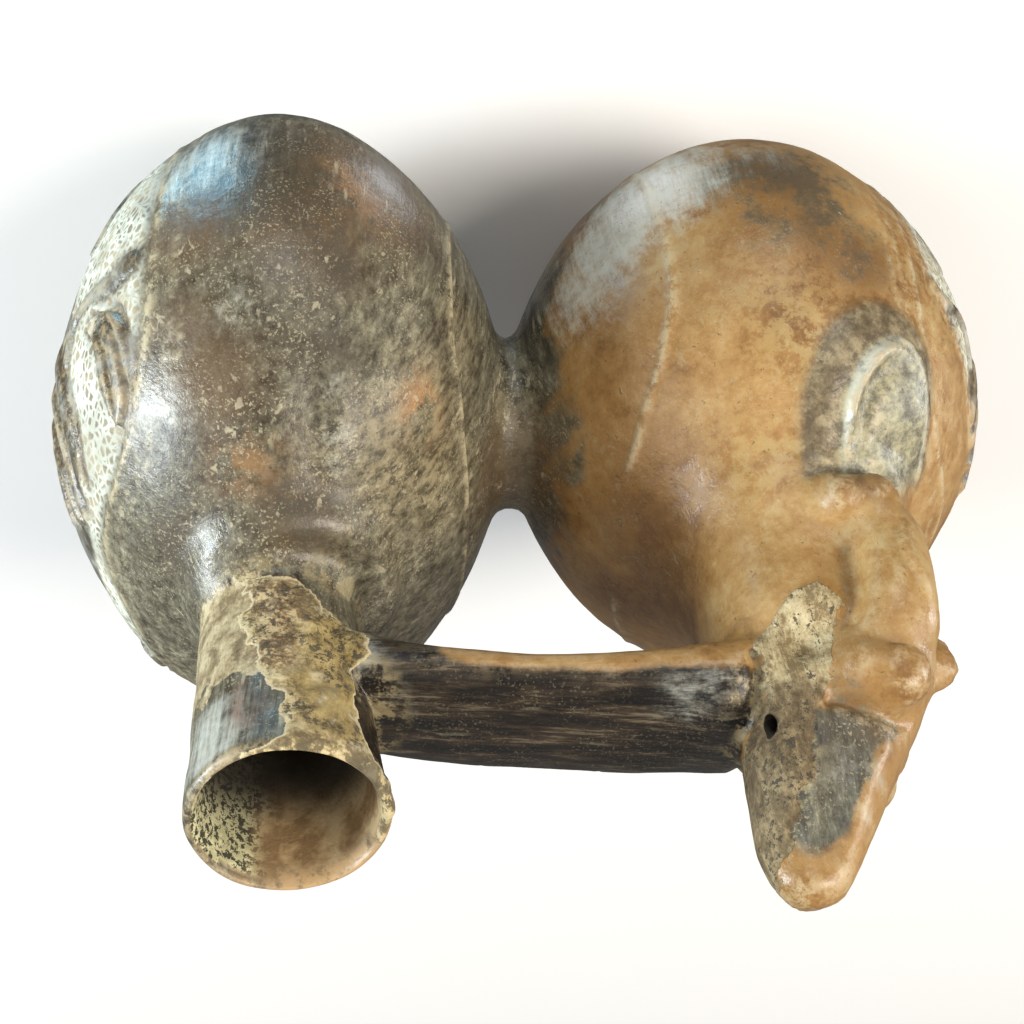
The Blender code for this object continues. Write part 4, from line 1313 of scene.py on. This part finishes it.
def mark_wear(mesh, places, outer, ground):
    """Hollows where pale clay gathers, and edges worn by handling."""
    bend, broad = curvature(mesh)
    hollow = outer * (1 - ground) * np.maximum(smooth_step(60, 300, bend), smooth_step(25, 120, broad))
    hollow *= 1 - 0.75 * bell(places[:, 0] - MEETING_X - 0.001, 0.0120)
    hollow *= 1 - 0.6 * patches(places, (BARE_HOLLOW,))
    keep_value(mesh, "hollow", hollow)
    keep_value(mesh, "worn_edge", outer * smooth_step(110, 420, -bend))


def mark_leg(mesh, places):
    """The leg's colours, which reach a little past its relief; the shin's crest is whitish wear with a
    painted highlight.
    """
    pad, shin, crest = leg_parts(places, 0.075)[1:]
    keep_value(mesh, "leg_pad", pad)
    keep_value(mesh, "shin", shin)
    keep_value(mesh, "shin_crest_wear_and_highlight", crest)


def mark_finishes(vessel):
    """Write where each finish lies onto the mesh's points."""
    mesh = vessel.data
    places = places_of(mesh)
    normals = normals_of(mesh)
    inside = inside_mask(places, normals)
    outer = 1 - inside
    mark_inside(mesh, places, inside)
    keep_value(mesh, "smoked", dark_clay(places, normals))
    keep_value(mesh, "strap", strap_mask(places))
    mark_crusts(mesh, places, outer)
    ground = mark_panels(mesh, places, outer)
    mark_stains(mesh, places)
    mark_wear(mesh, places, outer, ground)
    mark_leg(mesh, places)


# Finishes


class Finish:
    """Small helper that adds nodes to a material and wires them."""

    def __init__(self, name):
        self.material = bpy.data.materials.new(name)
        self.material.use_nodes = True
        self.nodes = self.material.node_tree.nodes
        self.links = self.material.node_tree.links
        self.shader = self.nodes["Principled BSDF"]
        self.coordinates = self.nodes.new("ShaderNodeTexCoord").outputs["Object"]

    def feed(self, value, socket):
        if isinstance(value, bpy.types.NodeSocket):
            self.links.new(value, socket)
        else:
            socket.default_value = value

    def value_of(self, name):
        node = self.nodes.new("ShaderNodeAttribute")
        node.attribute_name = name
        return node.outputs["Fac"]

    def math(self, operation, a, b, clamp=False):
        node = self.nodes.new("ShaderNodeMath")
        node.operation = operation
        node.use_clamp = clamp
        self.feed(a, node.inputs[0])
        self.feed(b, node.inputs[1])
        return node.outputs[0]

    def times(self, a, b):
        return self.math("MULTIPLY", a, b)

    def plus(self, a, b, clamp=False):
        return self.math("ADD", a, b, clamp)

    def most(self, a, b):
        return self.math("MAXIMUM", a, b)

    def swing(self, value, amount):
        """How far a noise is from its middle, made larger or smaller by the amount."""
        return self.times(self.math("SUBTRACT", value, 0.5), amount)

    def stretched(self, x, y, z):
        node = self.nodes.new("ShaderNodeMapping")
        node.inputs["Scale"].default_value = (x, y, z)
        self.links.new(self.coordinates, node.inputs["Vector"])
        return node.outputs[0]

    def noise(self, scale, detail, roughness, distortion=0.0, vector=None):
        node = self.nodes.new("ShaderNodeTexNoise")
        node.inputs["Scale"].default_value = scale
        node.inputs["Detail"].default_value = detail
        node.inputs["Roughness"].default_value = roughness
        node.inputs["Distortion"].default_value = distortion
        self.links.new(vector or self.coordinates, node.inputs["Vector"])
        return node.outputs["Fac"]

    def cells(self, scale, vector):
        """Distance to the edge of each cell of a hand-drawn network."""
        node = self.nodes.new("ShaderNodeTexVoronoi")
        node.feature = "DISTANCE_TO_EDGE"
        node.inputs["Scale"].default_value = scale
        self.links.new(vector, node.inputs["Vector"])
        return node.outputs["Distance"]

    def warped(self, amount, scale):
        """The surface's places, shifted a little by noise so that cells look drawn by hand."""
        noise = self.nodes.new("ShaderNodeTexNoise")
        noise.inputs["Scale"].default_value = scale
        self.links.new(self.coordinates, noise.inputs["Vector"])
        push = self.nodes.new("ShaderNodeVectorMath")
        push.operation = "MULTIPLY_ADD"
        self.links.new(noise.outputs["Color"], push.inputs[0])
        push.inputs[1].default_value = (amount, amount, amount)
        self.links.new(self.coordinates, push.inputs[2])
        return push.outputs[0]

    def strap_or_upright(self):
        """Places stretched upright on the chambers and lengthwise on the strap, for burnishing strokes."""
        node = self.nodes.new("ShaderNodeMix")
        node.data_type = "VECTOR"
        self.feed(self.value_of("strap"), node.inputs[0])
        self.feed(self.stretched(520, 520, 44), node.inputs[4])
        self.feed(self.stretched(44, 480, 480), node.inputs[5])
        return node.outputs[1]

    def between(self, value, low, high, out_low=0.0, out_high=1.0):
        node = self.nodes.new("ShaderNodeMapRange")
        node.interpolation_type = "SMOOTHSTEP"
        self.feed(value, node.inputs["Value"])
        self.feed(low, node.inputs["From Min"])
        self.feed(high, node.inputs["From Max"])
        node.inputs["To Min"].default_value = out_low
        node.inputs["To Max"].default_value = out_high
        return node.outputs[0]

    def mix(self, share, first, second):
        node = self.nodes.new("ShaderNodeMix")
        node.data_type = "RGBA"
        self.feed(share, node.inputs[0])
        self.feed(first, node.inputs[6])
        self.feed(second, node.inputs[7])
        return node.outputs[2]

    def ramp(self, value, stops):
        node = self.nodes.new("ShaderNodeValToRGB")
        points = node.color_ramp.elements
        while len(points) < len(stops):
            points.new(0.5)
        for point, (place, colour) in zip(points, stops):
            point.position = place
            point.color = (*colour, 1.0)
        self.feed(value, node.inputs[0])
        return node.outputs[0]


def colour(red, green, blue):
    return (red, green, blue, 1.0)


def warm_clay(clay):
    """Clay that fired clean: caramel, with darker clouds and a sandy bloom."""
    tone = clay.plus(clay.times(clay.broad, 0.45), clay.times(clay.mottle, 0.30))
    tone = clay.plus(tone, clay.times(clay.grain, 0.25))
    warm = clay.ramp(tone, (
        (0.405, (0.165, 0.078, 0.020)), (0.455, (0.250, 0.127, 0.037)), (0.50, (0.330, 0.180, 0.056)),
        (0.545, (0.385, 0.222, 0.077)), (0.61, (0.480, 0.315, 0.130))))
    bloom = clay.times(clay.between(clay.middle, 0.50, 0.74), clay.between(clay.grain, 0.44, 0.64, 0.0, 0.4))
    warm = clay.mix(bloom, warm, colour(0.420, 0.300, 0.135))
    ochre = clay.times(clay.value_of("ochre_spots"), clay.between(clay.grain, 0.44, 0.56))
    return clay.mix(clay.times(ochre, 0.65), warm, colour(0.430, 0.315, 0.125))


def smoked_clay(clay):
    """Clay that was smoked: umber to olive grey, in upright burnishing streaks."""
    tone = clay.plus(clay.times(clay.broad, 0.26), clay.times(clay.streaks, 0.50))
    tone = clay.plus(tone, clay.times(clay.grain, 0.24))
    dark = clay.ramp(tone, (
        (0.390, (0.026, 0.020, 0.012)), (0.455, (0.070, 0.059, 0.037)), (0.500, (0.108, 0.096, 0.063)),
        (0.545, (0.158, 0.145, 0.098)), (0.620, (0.300, 0.280, 0.195))))
    tan = clay.times(clay.value_of("tan_spots"), clay.between(clay.streaks, 0.42, 0.57, 0.15, 1.0))
    dark = clay.mix(clay.times(tan, 0.72), dark, colour(0.330, 0.262, 0.142))
    brown = clay.plus(clay.value_of("brown_stains_and_shade"), clay.math("SUBTRACT", clay.broad, 0.42))
    dark = clay.mix(clay.between(brown, 0.12, 0.80, 0.0, 0.75), dark, colour(0.132, 0.083, 0.042))
    orange = clay.times(clay.value_of("orange_spots"), clay.between(clay.mottle, 0.40, 0.56))
    return clay.mix(orange, dark, colour(0.400, 0.210, 0.080))


def strap_clay(clay):
    """The strap's top, nearly black, with lengthwise burnishing streaks."""
    return clay.ramp(clay.streaks, (
        (0.38, (0.003, 0.002, 0.001)), (0.48, (0.011, 0.007, 0.004)), (0.58, (0.036, 0.023, 0.012)),
        (0.68, (0.140, 0.110, 0.070))))


def bare_clay(clay):
    """The clay's own firing colours, before anything lies on it."""
    dark = clay.mix(clay.value_of("strap"), smoked_clay(clay), strap_clay(clay))
    smoked = clay.plus(clay.value_of("smoked"), clay.swing(clay.mottle, 1.1))
    clay.dark_share = clay.between(smoked, 0.22, 0.78)
    base = clay.mix(clay.dark_share, warm_clay(clay), dark)
    # Brown patches on the warm clay: stains, and in two places painted shade under the strap and the cap's
    # brim.
    umber = clay.times(clay.value_of("brown_stains_and_shade"), clay.between(clay.middle, 0.34, 0.60, 0.35, 1.0))
    umber = clay.times(umber, clay.between(clay.dark_share, 0.0, 1.0, 1.0, 0.0))
    base = clay.mix(umber, base, colour(0.170, 0.086, 0.032))
    cloud = clay.plus(clay.value_of("smoke_spots"), clay.swing(clay.mottle, 1.8))
    cloud = clay.plus(cloud, clay.swing(clay.grain, 1.7))
    cloud = clay.between(cloud, 0.06, 0.82, 0.0, 0.88)
    cloud = clay.times(cloud, clay.between(clay.value_of("smoke_spots"), 0.02, 0.30))
    return clay.mix(cloud, base, colour(0.072, 0.056, 0.035))


def leg_colours(clay, base):
    """The leg's umber pad, the grey-green shin with its cream flecks, and the shin's pale crest: whitish
    wear with a painted highlight.
    """
    pad_colour = clay.ramp(clay.grain, (
        (0.38, (0.080, 0.062, 0.035)), (0.50, (0.150, 0.118, 0.068)), (0.64, (0.290, 0.240, 0.145))))
    base = clay.mix(clay.times(clay.value_of("leg_pad"), 0.92), base, pad_colour)
    shin_colour = clay.ramp(clay.grain, (
        (0.38, (0.110, 0.096, 0.058)), (0.49, (0.235, 0.222, 0.150)), (0.62, (0.420, 0.390, 0.245))))
    base = clay.mix(clay.times(clay.value_of("shin"), 0.95), base, shin_colour)
    # Pale crest along the shin: partly whitish wear, partly a painted highlight on the ridge.
    crest = clay.times(clay.value_of("shin_crest_wear_and_highlight"), clay.between(clay.grain, 0.36, 0.52, 0.55, 0.95))
    return clay.mix(crest, base, colour(0.620, 0.610, 0.500))


def panel_colours(clay, base):
    """The panels: a network of cream walls round brown pits, slate bands and dark grooves."""
    pits = clay.between(clay.network, 0.07, 0.26)
    cream = colour(0.500, 0.510, 0.420)
    chalk = colour(0.740, 0.780, 0.660)
    pale = clay.mix(clay.between(clay.mottle, 0.42, 0.58), cream, chalk)
    umber = colour(0.170, 0.125, 0.072)
    tan = colour(0.400, 0.320, 0.190)
    deep = clay.mix(clay.between(clay.middle, 0.40, 0.60), umber, tan)
    ground = clay.mix(clay.times(pits, 0.85), pale, deep)
    base = clay.mix(clay.times(clay.value_of("panel_ground"), 0.95), base, ground)
    slate = clay.ramp(clay.mottle, (
        (0.42, (0.060, 0.050, 0.034)), (0.49, (0.165, 0.166, 0.142)), (0.57, (0.380, 0.380, 0.320))))
    base = clay.mix(clay.times(clay.value_of("panel_band"), 0.9), base, slate)
    return clay.mix(clay.times(clay.value_of("panel_groove"), 0.85), base, colour(0.085, 0.055, 0.028))


def wear_and_dust(clay, base):
    """Pale clay in the hollows, worn edges, pale haze mixed with painted sheen and highlights, scratches and
    flecks.
    """
    # Pale bluish patches: partly haze on the clay, partly painted sheen and highlights.
    haze_and_sheen = clay.plus(clay.value_of("haze_and_sheen_spots"), clay.swing(clay.grain, 1.3))
    haze_and_sheen = clay.plus(haze_and_sheen, clay.swing(clay.streaks, 1.5))
    haze_and_sheen = clay.between(haze_and_sheen, 0.10, 1.25, 0.0, 0.80)
    haze_and_sheen = clay.times(haze_and_sheen, clay.between(clay.value_of("haze_and_sheen_spots"), 0.06, 0.50))
    base = clay.mix(haze_and_sheen, base, colour(0.600, 0.620, 0.550))
    line = clay.times(clay.value_of("raised_line"), clay.between(clay.grain, 0.42, 0.58, 0.10, 0.85))
    base = clay.mix(line, base, colour(0.580, 0.500, 0.320))
    clay.hollow = clay.times(clay.value_of("hollow"), clay.between(clay.grain, 0.45, 0.57, 0.0, 0.80))
    clay.hollow = clay.times(clay.hollow, clay.between(clay.dark_share, 0.0, 1.0, 0.30, 0.70))
    base = clay.mix(clay.hollow, base, colour(0.400, 0.320, 0.165))
    worn = clay.times(clay.value_of("worn_edge"), clay.between(clay.grain, 0.42, 0.60, 0.0, 0.65))
    base = clay.mix(worn, base, colour(0.500, 0.390, 0.225))
    marks = clay.noise(1.10, 2.0, 0.60, 0.3, clay.drawn)
    marks = clay.times(clay.between(marks, 0.61, 0.70), clay.between(clay.middle, 0.42, 0.58, 0.1, 1.0))
    quiet = clay.between(clay.value_of("strap"), 0.0, 1.0, 1.0, 0.30)
    clay.marks = clay.times(marks, clay.between(clay.dark_share, 0.2, 0.9, 0.18, 0.62))
    clay.marks = clay.times(clay.marks, quiet)
    base = clay.mix(clay.marks, base, colour(0.480, 0.430, 0.290))
    flecks = clay.between(clay.noise(1900, 1.0, 0.7), 0.58, 0.67)
    flecks = clay.times(flecks, clay.between(clay.middle, 0.40, 0.60, 0.15, 1.0))
    flecks = clay.times(flecks, clay.between(clay.dark_share, 0.2, 0.9, 0.16, 0.48))
    flecks = clay.times(flecks, quiet)
    base = clay.mix(flecks, base, colour(0.500, 0.450, 0.300))
    pores = clay.between(clay.specks, 0.36, 0.31, 0.0, 0.55)
    return clay.mix(pores, base, colour(0.030, 0.022, 0.014))


def crust_layers(clay, base):
    """Dried clay that clings to the spout and the nape: mustard, brown and cream, with dark flakes; the
    nape's crust is painted darker on the cap's back as shade and paler low on the nape as painted light.
    """
    ragged = clay.swing(clay.mottle, 1.5)
    thin = clay.plus(clay.times(clay.grain, 0.65), clay.times(clay.streaks, 0.35))
    wash = clay.plus(clay.value_of("wash"), clay.swing(thin, 2.6))
    wash = clay.between(wash, 0.45, 0.72)
    wash_colour = clay.ramp(clay.grain, (
        (0.40, (0.230, 0.175, 0.095)), (0.50, (0.430, 0.345, 0.195)), (0.60, (0.600, 0.510, 0.320))))
    base = clay.mix(clay.times(wash, 0.9), base, wash_colour)
    streak = clay.times(clay.value_of("red_crust"), clay.between(clay.streaks, 0.40, 0.56, 0.1, 0.8))
    base = clay.mix(streak, base, colour(0.250, 0.140, 0.100))

    tan = clay.ramp(clay.grain, (
        (0.40, (0.170, 0.120, 0.055)), (0.50, (0.390, 0.295, 0.140)), (0.60, (0.640, 0.530, 0.300))))
    mustard = clay.ramp(clay.grain, (
        (0.38, (0.100, 0.072, 0.030)), (0.47, (0.300, 0.215, 0.080)), (0.62, (0.480, 0.365, 0.150))))
    brown = clay.ramp(clay.grain, (
        (0.42, (0.110, 0.066, 0.032)), (0.50, (0.300, 0.205, 0.100)), (0.56, (0.580, 0.450, 0.250))))
    crust_colour = clay.mix(clay.value_of("mustard"), tan, mustard)
    crust_colour = clay.mix(clay.times(clay.value_of("red_crust"), 0.9), crust_colour, brown)
    flakes = clay.times(clay.between(clay.specks, 0.51, 0.56), clay.between(clay.middle, 0.42, 0.54))
    crust_colour = clay.mix(clay.times(flakes, 0.85), crust_colour, colour(0.062, 0.054, 0.038))
    amount = clay.plus(clay.value_of("spout_crust"), ragged)
    amount = clay.plus(amount, clay.swing(clay.grain, 1.2))
    on_spout = clay.between(amount, 0.42, 0.54)
    rim = clay.times(on_spout, clay.between(amount, 0.92, 0.66))
    crust_colour = clay.mix(clay.times(rim, 0.8), crust_colour, colour(0.680, 0.580, 0.360))
    lip = clay.times(clay.value_of("lip"), clay.between(clay.grain, 0.56, 0.47))
    crust_colour = clay.mix(clay.times(lip, 0.8), crust_colour, colour(0.120, 0.100, 0.060))
    base = clay.mix(on_spout, base, crust_colour)

    layers = clay.plus(clay.times(clay.streaks, 0.5), clay.times(clay.grain, 0.5))
    # The crust's darker copy, painted shade for the cap's back; the paler copy below is painted light for
    # the lower nape.
    earth = clay.ramp(layers, (
        (0.42, (0.085, 0.058, 0.028)), (0.50, (0.150, 0.105, 0.052)), (0.58, (0.270, 0.200, 0.102))))
    lit_earth = clay.ramp(layers, (
        (0.42, (0.210, 0.150, 0.070)), (0.49, (0.420, 0.335, 0.180)), (0.58, (0.590, 0.505, 0.315))))
    earth = clay.mix(clay.value_of("lit_crust_share"), earth, lit_earth)
    specks = clay.times(clay.between(clay.specks, 0.53, 0.57), clay.between(clay.streaks, 0.46, 0.54))
    earth = clay.mix(clay.times(specks, 0.9), earth, colour(0.050, 0.042, 0.028))
    amount = clay.plus(clay.value_of("nape_crust"), ragged)
    amount = clay.plus(amount, clay.swing(clay.grain, 1.6))
    on_nape = clay.between(amount, 0.38, 0.58)
    base = clay.mix(on_nape, base, earth)
    clay.crust = clay.most(on_spout, on_nape)
    tan_lip = clay.times(clay.value_of("tan_lip"), clay.between(clay.grain, 0.34, 0.50, 0.35, 0.95))
    return clay.mix(tan_lip, base, colour(0.520, 0.340, 0.165))


def inside_colours(clay, base):
    """The bore: tan at the lip, olive and speckled on one side, and painted shade, nearly black, deeper
    down.
    """
    tan = clay.ramp(clay.mottle, (
        (0.42, (0.250, 0.155, 0.070)), (0.50, (0.390, 0.265, 0.130)), (0.58, (0.520, 0.390, 0.215))))
    specks = clay.between(clay.specks, 0.49, 0.54)
    straw = colour(0.460, 0.435, 0.245)
    cream = colour(0.690, 0.650, 0.390)
    pale = clay.mix(clay.between(clay.mottle, 0.42, 0.58), straw, cream)
    olive = clay.mix(specks, pale, colour(0.050, 0.048, 0.030))
    inner = clay.mix(clay.value_of("inside_right"), tan, olive)
    # Painted shade: nearly black deeper in the bore and along the pipe hole's line.
    deep = clay.between(clay.value_of("inside_depth_shade"), 0.0, 1.0, 0.0, 0.96)
    inner = clay.mix(deep, inner, colour(0.010, 0.007, 0.004))
    return clay.mix(clay.value_of("inside"), base, inner)


def surface_feel(clay):
    """Gloss and fine relief: burnished where bare, matt and rough where clay clings."""
    ground = clay.value_of("panel_ground")
    inside = clay.value_of("inside")
    matt = clay.most(clay.most(clay.crust, inside), clay.times(ground, 0.75))
    rough = clay.plus(clay.between(clay.mottle, 0.42, 0.58, 0.19, 0.31), clay.times(matt, 0.45))
    rough = clay.plus(rough, clay.times(clay.hollow, 0.22))
    rough = clay.plus(rough, clay.between(clay.dark_share, 0.0, 1.0, 0.14, 0.12), clamp=True)
    clay.links.new(rough, clay.shader.inputs["Roughness"])
    clay.shader.inputs["Specular IOR Level"].default_value = 0.45

    height = clay.times(clay.grain, clay.between(matt, 0.0, 1.0, 0.9, 2.4))
    height = clay.plus(height, clay.times(clay.streaks, 0.8))
    height = clay.plus(height, clay.times(clay.mottle, 1.4))
    height = clay.plus(height, clay.crust)
    bump = clay.nodes.new("ShaderNodeBump")
    bump.inputs["Strength"].default_value = 0.6
    bump.inputs["Distance"].default_value = 0.00030
    clay.links.new(height, bump.inputs["Height"])
    clay.links.new(bump.outputs["Normal"], clay.shader.inputs["Normal"])


def clay_finish():
    """Burnished fired clay with its smoke, wear and clinging earth."""
    clay = Finish("burnished_clay")
    clay.broad = clay.noise(24, 3.0, 0.55)
    clay.middle = clay.noise(95, 3.0, 0.6)
    clay.mottle = clay.noise(75, 4.0, 0.76)
    clay.grain = clay.noise(260, 4.0, 0.78)
    clay.specks = clay.noise(820, 3.0, 0.78)
    clay.drawn = clay.strap_or_upright()
    clay.streaks = clay.noise(1.0, 4.0, 0.76, 0.0, clay.drawn)
    clay.network = clay.cells(540, clay.warped(0.0009, 420))
    base = bare_clay(clay)
    base = leg_colours(clay, base)
    base = panel_colours(clay, base)
    base = wear_and_dust(clay, base)
    base = crust_layers(clay, base)
    base = inside_colours(clay, base)
    clay.links.new(base, clay.shader.inputs["Base Color"])
    surface_feel(clay)
    return clay.material


# Floor, light and camera


def floor():
    bm = bmesh.new()
    bmesh.ops.create_grid(bm, x_segments=1, y_segments=1, size=3.0)
    ground = new_object("studio_floor", bm)
    paper = Finish("pale_paper")
    paper.shader.inputs["Base Color"].default_value = (0.86, 0.86, 0.86, 1.0)
    paper.shader.inputs["Roughness"].default_value = 0.9
    ground.data.materials.append(paper.material)
    ground.visible_diffuse = False
    ground.visible_glossy = False


def add_light(name, place, aim, size, power, tint, gloss_only=False):
    data = bpy.data.lights.new(name, "AREA")
    data.shape = "RECTANGLE"
    data.size, data.size_y = size
    data.energy = power
    data.color = tint
    light = bpy.data.objects.new(name, data)
    light.location = place
    light.rotation_euler = (Vector(aim) - Vector(place)).to_track_quat("-Z", "Y").to_euler()
    light.visible_camera = False
    light.visible_diffuse = not gloss_only
    bpy.context.scene.collection.objects.link(light)


def sky():
    """A pale room round the object, brighter above than below."""
    world = bpy.data.worlds.new("studio")
    bpy.context.scene.world = world
    world.use_nodes = True
    tree = world.node_tree
    background = tree.nodes["Background"]
    background.inputs["Color"].default_value = (1.0, 0.98, 0.95, 1.0)
    place = tree.nodes.new("ShaderNodeTexCoord")
    parts = tree.nodes.new("ShaderNodeSeparateXYZ")
    fade = tree.nodes.new("ShaderNodeMapRange")
    for name, value in (("From Min", -0.4), ("From Max", 0.6), ("To Min", 0.18), ("To Max", 0.44)):
        fade.inputs[name].default_value = value
    tree.links.new(place.outputs["Generated"], parts.inputs["Vector"])
    tree.links.new(parts.outputs["Z"], fade.inputs["Value"])
    tree.links.new(fade.outputs["Result"], background.inputs["Strength"])


def lights():
    middle = (0, 0, 0.07)
    white = (0.86, 0.94, 1.0)
    add_light("key", (-0.66, -0.40, 0.80), middle, (0.50, 0.50), 11.5, (1.0, 0.93, 0.83))
    add_light("window", (0.95, -0.10, 0.26), middle, (0.34, 0.26), 12.0, (0.84, 0.94, 1.0))
    add_light("skylight", (0.60, -0.25, 0.80), middle, (0.50, 0.40), 2.0, (1.0, 0.96, 0.90))
    add_light("fill", (-0.06, -0.80, 0.10), middle, (0.50, 0.30), 1.8, (0.82, 0.93, 1.0))
    add_light("side_gloss", (-0.70, -0.10, 0.12), middle, (0.20, 0.18), 1.8, white, True)
    low = (0.105, -0.104, 0.0015)
    add_light("low_gloss", low, (low[0], low[1], 1.0), (0.040, 0.045), 0.075, (0.30, 0.72, 1.0), True)
    front = (-0.004, -0.074, 0.0015)
    add_light("front_gloss", front, (front[0], front[1], 1.0), (0.034, 0.036), 0.012, white)


# Camera: fitted to the outline; the picture shows the vessel upside down
CAMERA_PLACE = Vector((0.0274, -0.1774, 0.3136))
CAMERA_TURN = math.radians(7.36)
CAMERA_RISE = math.radians(51.10)
CAMERA_ROLL = math.radians(180 - 5.77)
CAMERA_LENS = 50.0


def camera():
    data = bpy.data.cameras.new("view")
    data.lens = CAMERA_LENS
    data.sensor_width = 36.0
    data.clip_start = 0.01
    back = Vector((
        math.sin(CAMERA_TURN) * math.cos(CAMERA_RISE),
        -math.cos(CAMERA_TURN) * math.cos(CAMERA_RISE),
        math.sin(CAMERA_RISE),
    ))
    right = Vector((math.cos(CAMERA_TURN), math.sin(CAMERA_TURN), 0))
    up = back.cross(right)
    across = right * math.cos(CAMERA_ROLL) + up * math.sin(CAMERA_ROLL)
    rise = up * math.cos(CAMERA_ROLL) - right * math.sin(CAMERA_ROLL)
    frame_turn = Matrix((across, rise, back)).transposed().to_4x4()
    view = bpy.data.objects.new("view", data)
    view.matrix_world = Matrix.Translation(CAMERA_PLACE) @ frame_turn
    bpy.context.scene.collection.objects.link(view)
    bpy.context.scene.camera = view


def main():
    camera()
    floor()
    sky()
    lights()
    bpy.context.scene.view_settings.view_transform = "Standard"
    vessel = vessel_body()
    mark_finishes(vessel)
    vessel.data.materials.clear()
    vessel.data.materials.append(clay_finish())
    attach(vessel, "root")
    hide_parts("double_vessel")


main()
